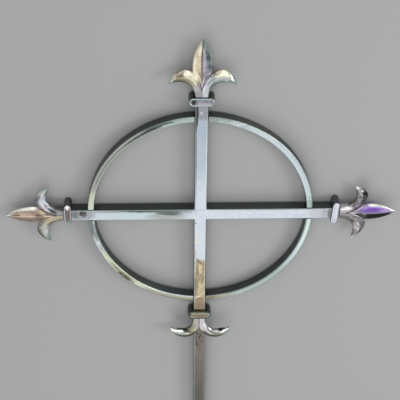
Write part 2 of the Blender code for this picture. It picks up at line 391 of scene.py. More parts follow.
class Effects:
    """What the steel finishes share: the node groups, and the crossing that places are measured from."""

    def __init__(self, crossing: Vector) -> None:
        """Keep the crossing and build every group once.

        Args:
            crossing: The middle of the crossing, in metres.
        """
        self.crossing = crossing
        self.blotch = self._blotch()
        self.stripe = self._stripe()
        self.streaks = self._streaks()
        self.polish = self._polish()
        self.turned_away = self._turned_away()

    def _blotch(self) -> Tree:
        """A round or long spot with a soft, ragged edge.

        Returns:
            The group.
        """
        group, board, given, wanted = new_group(
            "blotch",
            (Plug("Position", "Vector", (0, 0, 0)), Plug("Centre", "Vector", (0, 0, 0)),
             Plug("Size", "Vector", (1, 1, 1)), Plug("Turn"), Plug("Softness", value=0.3),
             Plug("Raggedness", value=0.5), Plug("Grain", value=0.5)),
            (Plug("Mask"),))
        offset = board.vector("SUBTRACT", given["Position"], given["Centre"]).outputs[0]
        turned = board.add("ShaderNodeVectorRotate", rotation_type="Z_AXIS", invert=True)
        board.feed(turned.inputs["Vector"], offset)
        board.feed(turned.inputs["Angle"], given["Turn"])
        sized = board.vector("DIVIDE", turned.outputs[0], given["Size"]).outputs[0]
        far = board.vector("LENGTH", sized).outputs["Value"]
        rough = board.math("SUBTRACT", board.cloud(given["Position"], given["Grain"]), 0.5)
        ragged = board.math("MULTIPLY_ADD", rough, given["Raggedness"], far)
        outer = board.math("ADD", 1.0, given["Softness"])
        inner = board.math("SUBTRACT", 1.0, given["Softness"])
        board.feed(wanted["Mask"], board.step(ragged, outer, inner))
        return group

    def _stripe(self) -> Tree:
        """A band along a blade, a leaf or an arc, between two shares of its length and of its width.

        Returns:
            The group.
        """
        group, board, given, wanted = new_group(
            "stripe",
            (Plug("Position", "Vector", (0, 0, 0)), Plug("Start"), Plug("End", value=1.0), Plug("Low"),
             Plug("High", value=1.0), Plug("Fade", value=0.05), Plug("Softness", value=0.05),
             Plug("Raggedness", value=0.1), Plug("Grain", value=0.5)),
            (Plug("Mask"),))
        wobble = board.math("SUBTRACT", board.cloud(given["Position"], given["Grain"]), 0.5)
        parts = []
        for attribute, low, high, soft in (("along", "Start", "End", "Fade"), ("across", "Low", "High", "Softness")):
            read = board.add("ShaderNodeAttribute", attribute_name=attribute).outputs["Fac"]
            value = board.math("MULTIPLY_ADD", wobble, given["Raggedness"], read)
            for edge, way in ((low, 1.0), (high, -1.0)):
                before = board.math("MULTIPLY_ADD", given[soft], -way, given[edge])
                after = board.math("MULTIPLY_ADD", given[soft], way, given[edge])
                parts.append(board.step(value, before, after))
        mask = parts[0]
        for part in parts[1:]:
            mask = board.math("MULTIPLY", mask, part)
        board.feed(wanted["Mask"], mask)
        return group

    def _streaks(self) -> Tree:
        """Long marks that run one way, more or fewer of them by Coverage.

        Returns:
            The group.
        """
        group, board, given, wanted = new_group(
            "streaks",
            (Plug("Position", "Vector", (0, 0, 0)), Plug("Turn"), Plug("Stretch", value=0.2),
             Plug("Grain", value=0.4), Plug("Coverage", value=0.4), Plug("Softness", value=0.08)),
            (Plug("Mask"),))
        turned = board.add("ShaderNodeVectorRotate", rotation_type="Z_AXIS", invert=True)
        board.feed(turned.inputs["Vector"], given["Position"])
        board.feed(turned.inputs["Angle"], given["Turn"])
        stretch = board.add("ShaderNodeCombineXYZ")
        for index, value in enumerate((given["Stretch"], 1.0, 1.0)):
            board.feed(stretch.inputs[index], value)
        long = board.vector("MULTIPLY", turned.outputs[0], stretch.outputs[0]).outputs[0]
        cloud = board.cloud(long, given["Grain"], 3.0)
        limit = board.math("MULTIPLY_ADD", given["Coverage"], -0.5, 0.75)
        low = board.math("SUBTRACT", limit, given["Softness"])
        high = board.math("ADD", limit, given["Softness"])
        board.feed(wanted["Mask"], board.step(cloud, low, high))
        return group

    def _polish(self) -> Tree:
        """Hand polishing: fine grain, soft clouds and shallow dents.

        Returns:
            The group.
        """
        group, board, given, wanted = new_group(
            "hand_polish",
            (Plug("Position", "Vector", (0, 0, 0)), Plug("Grain", value=3.0), Plug("Clouds", value=0.25),
             Plug("Dents", value=0.12)),
            (Plug("Shade"), Plug("Sheen"), Plug("Height")))
        grain = board.cloud(given["Position"], given["Grain"], 4.0)
        clouds = board.cloud(given["Position"], given["Clouds"], 4.0)
        dents = board.cloud(given["Position"], given["Dents"], 1.0)
        fine = board.math("MULTIPLY", grain, 0.35)
        board.feed(wanted["Shade"], board.math("MULTIPLY_ADD", clouds, 0.65, fine))
        board.feed(wanted["Sheen"], board.math("MULTIPLY_ADD", grain, 0.5, board.math("MULTIPLY", clouds, 0.5)))
        board.feed(wanted["Height"], board.math("MULTIPLY_ADD", dents, 3.0, board.math("MULTIPLY", grain, 0.12)))
        return group

    def _turned_away(self) -> Tree:
        """1 on the sides of the bars and 0 on the front and the back.

        Returns:
            The group.
        """
        group, board, given, wanted = new_group(
            "turned_away", (Plug("Normal", "Vector", (0, 0, 1)), Plug("Low", value=0.45), Plug("High", value=0.75)),
            (Plug("Mask"),))
        parts = board.add("ShaderNodeSeparateXYZ")
        board.feed(parts.inputs[0], given["Normal"])
        upward = board.math("ABSOLUTE", parts.outputs[2])
        board.feed(wanted["Mask"], board.step(upward, given["High"], given["Low"]))
        return group


@dataclass(frozen=True)
class Surface:
    """What the mask of a mark is made from.

    Attributes:
        board: The board of the material.
        effects: The shared node groups.
        position: The place on the piece.
        normal: The way that the surface faces.
    """

    board: Board
    effects: Effects
    position: Socket
    normal: Socket


@dataclass(frozen=True)
class Mark:
    """One layer of colour over the steel.

    Attributes:
        tint: Its colour.
        strength: How much of it shows.
        rough: What it adds to the roughness.
        inside: Another mark, whose shape bounds this one.
    """

    tint: Tint
    strength: float = 1.0
    rough: float = 0.0
    inside: Optional["Mark"] = None

    def shape(self, surface: Surface) -> Socket:
        """The mask of the mark's own shape."""
        raise NotImplementedError

    def mask(self, surface: Surface) -> Socket:
        """The mask of the mark, bounded and weakened.

        Args:
            surface: What it is made from.

        Returns:
            The mask.
        """
        own = surface.board.math("MULTIPLY", self.shape(surface), self.strength)
        if self.inside is None:
            return own
        return surface.board.math("MULTIPLY", own, self.inside.mask(surface))


@dataclass(frozen=True)
class Blotch(Mark):
    """A spot at a place on the cross. Its size is half its length and half its width."""

    centre: tuple[float, float, float] = (0.0, 0.0, 0.0)
    size: Pair = (1.0, 1.0)
    turn: float = 0.0
    soft: float = 0.4
    ragged: float = 0.5
    grain: float = 0.4
    depth: float = 14.0

    def shape(self, surface: Surface) -> Socket:
        """The mask of the spot."""
        return surface.board.use(surface.effects.blotch, Position=surface.position, Centre=self.centre,
                                 Size=(*self.size, self.depth), Turn=math.radians(self.turn), Softness=self.soft,
                                 Raggedness=self.ragged, Grain=self.grain).outputs["Mask"]


@dataclass(frozen=True)
class Stripe(Mark):
    """A band between two shares of the length and two shares of the width of a piece."""

    along: Pair = (-1.0, 2.0)
    across: Pair = (-1.0, 2.0)
    fade: float = 0.05
    soft: float = 0.06
    ragged: float = 0.12
    grain: float = 0.45

    def shape(self, surface: Surface) -> Socket:
        """The mask of the band."""
        return surface.board.use(surface.effects.stripe, Position=surface.position, Start=self.along[0],
                                 End=self.along[1], Low=self.across[0], High=self.across[1], Fade=self.fade,
                                 Softness=self.soft, Raggedness=self.ragged, Grain=self.grain).outputs["Mask"]


@dataclass(frozen=True)
class Streaks(Mark):
    """Long marks that run at an angle to +X."""

    turn: float = 0.0
    stretch: float = 0.2
    grain: float = 0.4
    coverage: float = 0.4
    soft: float = 0.08

    def shape(self, surface: Surface) -> Socket:
        """The mask of the marks."""
        return surface.board.use(surface.effects.streaks, Position=surface.position, Turn=math.radians(self.turn),
                                 Stretch=self.stretch, Grain=self.grain, Coverage=self.coverage,
                                 Softness=self.soft).outputs["Mask"]


@dataclass(frozen=True)
class ShadedSides(Mark):
    """The sides of a piece, darkened with painted shade and made a little rougher than its front."""

    low: float = 0.45
    high: float = 0.75

    def shape(self, surface: Surface) -> Socket:
        """The mask of the sides."""
        return surface.board.use(surface.effects.turned_away, Normal=surface.normal, Low=self.low,
                                 High=self.high).outputs["Mask"]


@dataclass(frozen=True)
class RimHighlight(Mark):
    """A painted highlight on the edges of a piece, as its mesh marks them."""

    low: float = 0.3
    high: float = 0.8

    def shape(self, surface: Surface) -> Socket:
        """The mask of the edges."""
        read = surface.board.add("ShaderNodeAttribute", attribute_name="rim").outputs["Fac"]
        return surface.board.step(read, self.low, self.high)


# Painted shade on the sides of the collars.
COLLAR_SHADED_SIDES = ShadedSides(Tint.SCALE, 0.92, 0.10, low=0.08, high=0.3)


def band(tint: Tint, along: Pair, across: Pair = (-1.0, 2.0), strength: float = 1.0, **options: float) -> Stripe:
    """A stripe, most often with its usual softness.

    Args:
        tint: Its colour.
        along: Where it starts and ends, as shares of the piece's length.
        across: Its two edges, as shares of the piece's width.
        strength: How much of it shows.
        options: The softness of its ends and edges, and how far and how finely both wander.

    Returns:
        The mark.
    """
    return Stripe(tint, strength, along=along, across=across, **options)


def spot(tint: Tint, centre: Sequence[float], size: Pair, strength: float = 1.0, **options: float) -> Blotch:
    """A blotch, most often with its usual softness.

    Args:
        tint: Its colour.
        centre: Its place on the cross, in millimetres.
        size: Half its length and half its width.
        strength: How much of it shows.
        options: The way of its length from +X in degrees, its softness, and how far and how finely its edge wanders.

    Returns:
        The mark.
    """
    return Blotch(tint, strength, centre=(centre[0], centre[1], 0.0), size=size, **options)


@dataclass(frozen=True)
class SteelFinish:
    """Polished steel with its tints and stains, and painted highlights and shade.

    Attributes:
        name: The name of the material.
        tint: The colour of the bare steel.
        shade: A second colour that clouds it.
        marks: The layers over it, lowest first.
        rough: The roughness of the bare steel.
        grain: The scale of the fine grain.
        clouds: The scale of the clouds.
        relief: The depth of dents and grain, in millimetres.
    """

    name: str
    tint: Tint
    shade: Tint
    marks: tuple[Mark, ...] = ()
    rough: float = 0.24
    grain: float = 2.6
    clouds: float = 0.22
    relief: float = 0.05

    def material(self, effects: Effects) -> bpy.types.Material:
        """Build the material.

        Args:
            effects: The shared node groups.

        Returns:
            The material.
        """
        made = bpy.data.materials.new(self.name)
        made.use_nodes = True
        made.node_tree.nodes.clear()
        board = Board(made.node_tree)
        place = board.add("ShaderNodeTexCoord")
        moved = board.vector("SUBTRACT", place.outputs["Object"], effects.crossing).outputs[0]
        position = board.vector("MULTIPLY", moved, (1 / MM, 1 / MM, 1 / MM)).outputs[0]
        surface = Surface(board, effects, position, place.outputs["Normal"])
        polish = board.use(effects.polish, Position=position, Grain=self.grain, Clouds=self.clouds)
        clouded = board.step(polish.outputs["Shade"], 0.36, 0.64)
        colour = board.mix(clouded, self.tint.linear, self.shade.linear)
        rough = board.step(polish.outputs["Sheen"], 0.3, 0.7, (self.rough - 0.06, self.rough + 0.08))
        for mark in self.marks:
            mask = mark.mask(surface)
            colour = board.mix(mask, colour, mark.tint.linear)
            if mark.rough:
                rough = board.math("MULTIPLY_ADD", mask, mark.rough, rough)
        bump = board.add("ShaderNodeBump")
        board.feed(bump.inputs["Height"], polish.outputs["Height"])
        board.feed(bump.inputs["Distance"], self.relief * MM)
        shader = board.add("ShaderNodeBsdfPrincipled")
        board.feed(shader.inputs["Base Color"], colour)
        board.feed(shader.inputs["Roughness"], rough)
        board.feed(shader.inputs["Metallic"], 1.0)
        board.feed(shader.inputs["Normal"], bump.outputs["Normal"])
        out = board.add("ShaderNodeOutputMaterial")
        board.feed(out.inputs["Surface"], shader.outputs["BSDF"])
        return made


@dataclass
class Skin:
    """A closed skin over rows of points, with what its material reads at each point.

    Attributes:
        points: Rows by columns by three, in the row frame.
        along: From 0 at the start of the piece to 1 at its end.
        across: From 0 at one edge to 1 at the other.
        rim: 1 at an edge and 0 away from it.
    """

    points: np.ndarray
    along: np.ndarray
    across: np.ndarray
    rim: np.ndarray

    def faces(self) -> list[tuple[int, ...]]:
        """The quads between the rows, and a face over each end.

        Returns:
            Each face as the numbers of its points.
        """
        rows, columns = self.points.shape[:2]
        made = []
        for row in range(rows - 1):
            for column in range(columns):
                after = (column + 1) % columns
                made.append((row * columns + column, row * columns + after,
                             (row + 1) * columns + after, (row + 1) * columns + column))
        made.append(tuple(reversed(range(columns))))
        made.append(tuple(range((rows - 1) * columns, rows * columns)))
        return made


def wobble(points: np.ndarray, depth: float, length: float) -> np.ndarray:
    """Move points by soft noise, as hammer and file leave them.

    Args:
        points: Points in metres.
        depth: How far a point may move, in millimetres.
        length: The size of the unevenness, in millimetres.

    Returns:
        The moved points.
    """
    flat = points.reshape(-1, 3)
    moves = np.array([noise.noise_vector(Vector(point) / (length * MM)) for point in flat])
    return (flat + moves * depth * MM).reshape(points.shape)


def scene_object(name: str, data: bpy.types.ID) -> Piece:
    """Make an object from a mesh, a light or a camera and put it in the scene."""
    made = bpy.data.objects.new(name, data)
    bpy.context.scene.collection.objects.link(made)
    return made


def mesh_object(name: str, points: np.ndarray, faces: Sequence[Sequence[int]], values: dict[str, np.ndarray],
                crease: float = CREASE) -> Piece:
    """Make an object with smooth faces and the values that its material reads.

    Args:
        name: The name of the piece.
        points: Its points, in metres.
        faces: Its faces.
        values: Each attribute's value at each point.
        crease: Edges sharper than this many degrees stay crisp.

    Returns:
        The object.
    """
    mesh = bpy.data.meshes.new(name)
    mesh.from_pydata(points.reshape(-1, 3).tolist(), [], [tuple(face) for face in faces])
    for key, value in values.items():
        mesh.attributes.new(key, "FLOAT", "POINT").data.foreach_set("value", value.astype(np.float32).ravel())
    shape = bmesh.new()
    shape.from_mesh(mesh)
    bmesh.ops.remove_doubles(shape, verts=shape.verts, dist=0.001 * MM)
    bmesh.ops.recalc_face_normals(shape, faces=shape.faces)
    shape.to_mesh(mesh)
    shape.free()
    mesh.shade_smooth()
    mesh.set_sharp_from_angle(angle=math.radians(crease))
    return scene_object(name, mesh)


def skin_object(name: str, skin: Skin, crease: float = CREASE) -> Piece:
    """Make an object from one skin."""
    values = {"along": skin.along, "across": skin.across, "rim": skin.rim}
    return mesh_object(name, skin.points, skin.faces(), values, crease)


def wear(piece: Piece, material: bpy.types.Material, nodes: Sequence[str]) -> None:
    """Give a piece its material, its body and the nodes it stands for, and report it.

    Args:
        piece: The object.
        material: Its material.
        nodes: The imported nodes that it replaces.
    """
    piece.data.materials.clear()
    piece.data.materials.append(material)
    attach(piece, BODY)
    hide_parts(*nodes)
    LOG.info("%s: %d faces, for %s", piece.name, len(piece.data.polygons), ", ".join(nodes))


def bezier(start: np.ndarray, first: np.ndarray, second: np.ndarray, end: np.ndarray, share: float) -> np.ndarray:
    """A point on a cubic curve."""
    rest = 1 - share
    return start * rest ** 3 + 3 * first * share * rest ** 2 + 3 * second * share ** 2 * rest + end * share ** 3


def ease(value: float, low: float, high: float) -> float:
    """0 below low, 1 above high and a smooth rise between them."""
    share = min(max((value - low) / (high - low), 0.0), 1.0)
    return share * share * (3 - 2 * share)


def blend(first: float, second: float, share: float) -> float:
    """The value at a share of the way from the first to the second."""
    return first + (second - first) * share


def solve(function: Callable[[float], float], wanted: float, low: float, high: float) -> float:
    """Where a rising function reaches a value, by halving.

    Args:
        function: The function.
        wanted: The value.
        low: A place before it.
        high: A place after it.

    Returns:
        The place.
    """
    for _ in range(40):
        middle = (low + high) / 2
        if function(middle) < wanted:
            low = middle
        else:
            high = middle
    return high


@dataclass
class SquareBars:
    """The upright and the crossbar, ground flush where they cross.

    Attributes:
        layout: The layout of the cross.
        edge: The rounding of the long edges.
        fillet: The rounding of the four inner corners.
        pitch: The distance between rows of points.
        uneven: How far the faces wander, and over what length.
        lean_from: How far below the crossing the shaft starts to lean to the right.
        lean: How much it leans, as a slope.
    """

    layout: Layout
    edge: float = 0.9
    fillet: float = 0.8
    pitch: float = 3.0
    uneven: Pair = (0.09, 26.0)
    lean_from: float = 90.0
    lean: float = 0.0062

    def _section(self) -> np.ndarray:
        """The corners of the square section as X and Z, from the middle of the bar.

        Returns:
            One point a row.
        """
        half = self.layout.half_bar / MM
        flat = half - self.edge
        quarter = [(flat * share, half) for share in (0.0, 0.3, 0.6, 0.85)]
        quarter += [(flat + self.edge * math.sin(angle), flat + self.edge * math.cos(angle))
                    for angle in np.linspace(0, math.pi / 2, 6)]
        quarter += [(half, flat * share) for share in (0.7, 0.35)]
        points = []
        for cos, sin in QUARTER_TURNS:
            points += [(x * cos + z * sin, z * cos - x * sin) for x, z in quarter]
        return np.array(points)

    def _widening(self, out: float) -> float:
        """How much wider than the bar the inner corner's rounding makes it at a distance out."""
        half = self.layout.half_bar / MM
        rest = max(half + self.fillet - out, 0.0)
        return self.fillet - math.sqrt(max(self.fillet ** 2 - rest ** 2, 0.0))

    def _arm(self, reach: float, turn: float) -> tuple[np.ndarray, np.ndarray]:
        """One arm from the middle of the crossing outwards.

        Args:
            reach: Its length from the crossing, in millimetres.
            turn: The way it points, in radians from +Y.

        Returns:
            Rows of points in metres, and how close each is to a long edge.
        """
        half = self.layout.half_bar / MM
        corner = half + self.fillet * (1 - math.sqrt(0.5))
        section = self._section()
        rows = [corner + (half + self.fillet - corner) * share for share in (0.0, 0.33, 0.66, 1.0)]
        count = max(2, round((reach - self.edge - rows[-1]) / self.pitch))
        rows += list(np.linspace(rows[-1], reach - self.edge, count + 1))[1:]
        points = []
        for index, out in enumerate(rows):
            wide = (half + self._widening(out)) / half
            x = section[:, 0] * wide
            y = np.abs(x) if index == 0 else np.full(len(x), out)
            points.append(np.stack((x, y, section[:, 1]), axis=-1))
        for angle in np.linspace(0, math.pi / 2, 5)[1:]:
            small = (half - self.edge * (1 - math.cos(angle))) / half
            y = np.full(len(section), reach - self.edge * (1 - math.sin(angle)))
            points.append(np.stack((section[:, 0] * small, y, section[:, 1] * small), axis=-1))
        local = np.array(points)
        local[..., 2] -= half
        near = np.minimum(half - np.abs(section[:, 0]), half - np.abs(section[:, 1]))
        far_from_corner = np.hypot(half - np.abs(section[:, 0]), half - np.abs(section[:, 1]))
        rim = np.clip(1 - far_from_corner / (2 * self.edge), 0, 1) * (near < self.edge)
        return Seat(self.layout, 0.0, turn).to_row(local), np.tile(rim, (len(points), 1))

    def build(self) -> Piece:
        """Build the fused bars.

        Returns:
            The object.
        """
        layout = self.layout
        points, faces, rims = [], [], []
        start = 0
        for reach, turn in ((layout.top, 0.0), (layout.left, math.pi / 2), (layout.foot, math.pi),
                            (layout.right, -math.pi / 2)):
            arm, rim = self._arm(reach / MM, turn)
            skin = Skin(arm, rim, rim, rim)
            inner_cap = len(skin.faces()) - 2
            faces += [tuple(corner + start for corner in face)
                      for number, face in enumerate(skin.faces()) if number != inner_cap]
            points.append(arm.reshape(-1, 3))
            rims.append(rim.ravel())
            start += len(points[-1])
        together = wobble(np.concatenate(points), *self.uneven)
        below = (layout.crossing.y - together[:, 1]) - self.lean_from * MM
        together[:, 0] += self.lean * np.clip(below, 0, None)
        return mesh_object("square_bars", together, faces, {"rim": np.concatenate(rims)})

    def finish(self) -> SteelFinish:
        """The finish of the bars: silver fronts, a straw stretch and a browner shaft.

        Returns:
            The finish.
        """
        marks = (
            spot(Tint.HAZE, (0, 86), (11, 46), soft=0.45, grain=0.1),
            spot(Tint.STEEL_BLUE, (2, 95), (6, 13), 0.6, soft=0.5),
            spot(Tint.GREY, (0.5, 116), (9, 9.5), 0.95, soft=0.25),
            spot(Tint.SILVER, (-0.2, 114), (1.3, 1.4), 0.6, ragged=1.0),
            spot(Tint.BLACK, (-4.6, 110), (1.5, 14), 0.95, soft=0.25, ragged=0.4, turn=-2),
            # Painted reflection along the upright: a dark line down its left edge and a pale highlight down its right
            # edge.
            spot(Tint.CHARCOAL, (-4.7, 64), (0.45, 57), 0.75, soft=0.4, ragged=0.3),
            spot(Tint.LILAC_SHADE, (-5.9, 64), (0.7, 56), 0.5, soft=0.4),
            spot(Tint.GREEN_WHITE, (5.6, 62), (0.7, 55), 0.9, soft=0.3),
            spot(Tint.CHARCOAL, (-4.3, -10.5), (0.7, 0.7), 0.9),
            spot(Tint.SAND, (-2.2, -28), (2.4, 9), 0.25, ragged=1.2),
            spot(Tint.STRAW, (0, -91.5), (24, 35), soft=0.05, ragged=0.12, grain=0.3),
            spot(Tint.BUFF, (1.0, -67), (2.4, 7), 0.9),
            spot(Tint.BUFF, (1.6, -94), (3.6, 10), 0.7),
            spot(Tint.PALE_KHAKI, (-5.2, -66), (1.4, 11), 0.7),
            spot(Tint.PALE_KHAKI, (5.4, -82), (1.2, 28), 0.6),
            spot(Tint.OLIVE, (-4.9, -90), (1.6, 12), 0.9),
            spot(Tint.UMBER, (-0.6, -58.6), (5.4, 1.1), 0.95, turn=-53),
            spot(Tint.UMBER, (-2.6, -71), (1.1, 7), 0.6, turn=4),
            spot(Tint.TAN, (-5.2, -48), (1.2, 6), 0.7),
            spot(Tint.UMBER, (3.4, -67), (0.9, 6), 0.6),
            spot(Tint.UMBER, (2.8, -83), (1.2, 5), 0.6, turn=-15),
            spot(Tint.UMBER, (-2.4, -90), (1.0, 5), 0.6, turn=12),
            spot(Tint.SAND, (-1.8, -104.4), (3.4, 0.9), 0.8, turn=25),
            spot(Tint.UMBER, (-0.6, -107.0), (3.4, 0.8), 0.9, turn=25),
            Streaks(Tint.UMBER, 0.45, turn=68, stretch=0.3, grain=0.45, coverage=0.4, soft=0.06,
                    inside=spot(Tint.UMBER, (0, -88), (9, 28))),
            spot(Tint.UMBER, (0, -119), (9, 9), 0.8, soft=0.5),
            spot(Tint.WARM_GREY, (0, -250), (20, 118), soft=0.04, ragged=0.1),
            spot(Tint.SHAFT_GREY, (0, -310), (24, 100), soft=0.45, ragged=0.2),
            Streaks(Tint.SHAFT_GREY, 0.4, turn=90, stretch=0.25, grain=0.30, coverage=0.5, soft=0.14,
                    inside=spot(Tint.SHAFT_GREY, (0.5, -250), (4.4, 116), soft=0.3)),
            spot(Tint.TAUPE, (0.2, -158), (6.4, 11), 0.75),
            Streaks(Tint.DARK_BROWN, 0.7, turn=105, stretch=0.4, grain=0.55, coverage=0.4, soft=0.05,
                    inside=spot(Tint.DARK_BROWN, (0.2, -161), (4.6, 15))),
            spot(Tint.DULL_GREY, (-5.5, -190), (1.1, 46), 0.8),
            spot(Tint.DULL_GREY, (-5.0, -236), (1.1, 40), 0.8),
            spot(Tint.DULL_GREY, (6.4, -215), (1.2, 60), 0.8),
            spot(Tint.BLACK, (-2.1, -155), (0.9, 3.0), 0.8, turn=15, ragged=1.2, grain=0.6),
            spot(Tint.BLACK, (1.2, -159), (0.9, 3.4), 0.8, turn=-22, ragged=1.2, grain=0.6),
            spot(Tint.BLACK, (4.2, -161), (0.6, 2.2), 0.6, turn=-12, ragged=1.2, grain=0.6),
            spot(Tint.BLACK, (-2.2, -169), (0.9, 3.6), 0.7, turn=12, ragged=1.2, grain=0.6),
            spot(Tint.COOL_SILVER, (-66, -2), (50, 7), 0.8, grain=0.1),
            spot(Tint.GREY, (-116.5, 1.5), (13, 7.5), 0.85, soft=0.35),
            spot(Tint.DULL_GREY, (-122.5, 1.5), (3.4, 6), 0.8),
            spot(Tint.BLACK, (-114.8, 2.6), (3.7, 3.5), 0.9, soft=0.25),
            spot(Tint.MAUVE, (-113.8, 0.2), (2.4, 2.2), 0.8, soft=0.3),
            spot(Tint.GREY, (-88, 6.2), (26, 3.4), 0.8),
            spot(Tint.STONE, (-33, -1.5), (18, 4.4), 0.7),
            spot(Tint.SLATE, (-55, 6.4), (25, 3.4), 0.95, soft=0.3, grain=0.2),
            spot(Tint.DULL_GREY, (-32, 3.2), (14, 3.6), 0.95, soft=0.3, turn=-4, grain=0.3),
            spot(Tint.DULL_GREY, (-24, 5.8), (17, 2.4), 0.8),
            spot(Tint.SLATE, (-29, 1.0), (6, 1.4), 0.5, turn=-8),
            spot(Tint.GREY, (-14, 4.6), (7, 3.2), 0.7),
            spot(Tint.GREY, (66, 5.8), (60, 1.1), 0.9, soft=0.3),
            spot(Tint.SLATE, (-53, 5.8), (46, 1.1), 0.8, soft=0.3),
            spot(Tint.ASH, (117, 0), (10, 7), 0.5, ragged=0.8, grain=0.3),
            spot(Tint.GREY, (122.5, 2.5), (0.9, 0.9), 0.6),
            spot(Tint.GREY, (122.5, 0), (3.6, 8), 0.35),
            spot(Tint.DULL_GREY, (128.5, 0), (3.6, 9), 0.9),
            # Painted highlight on the edges of the bars.
            RimHighlight(Tint.GREEN_SILVER, 0.4),
            # Painted shade on the sides of the bars.
            ShadedSides(Tint.SCALE, 0.92, 0.10),
        )
        return SteelFinish("bar_front_steel", Tint.SILVER, Tint.LILAC_SILVER, marks)

    def dress(self, effects: Effects) -> None:
        """Build the bars and give them their finish."""
        wear(self.build(), self.finish().material(effects), ("upright", "crossbar"))


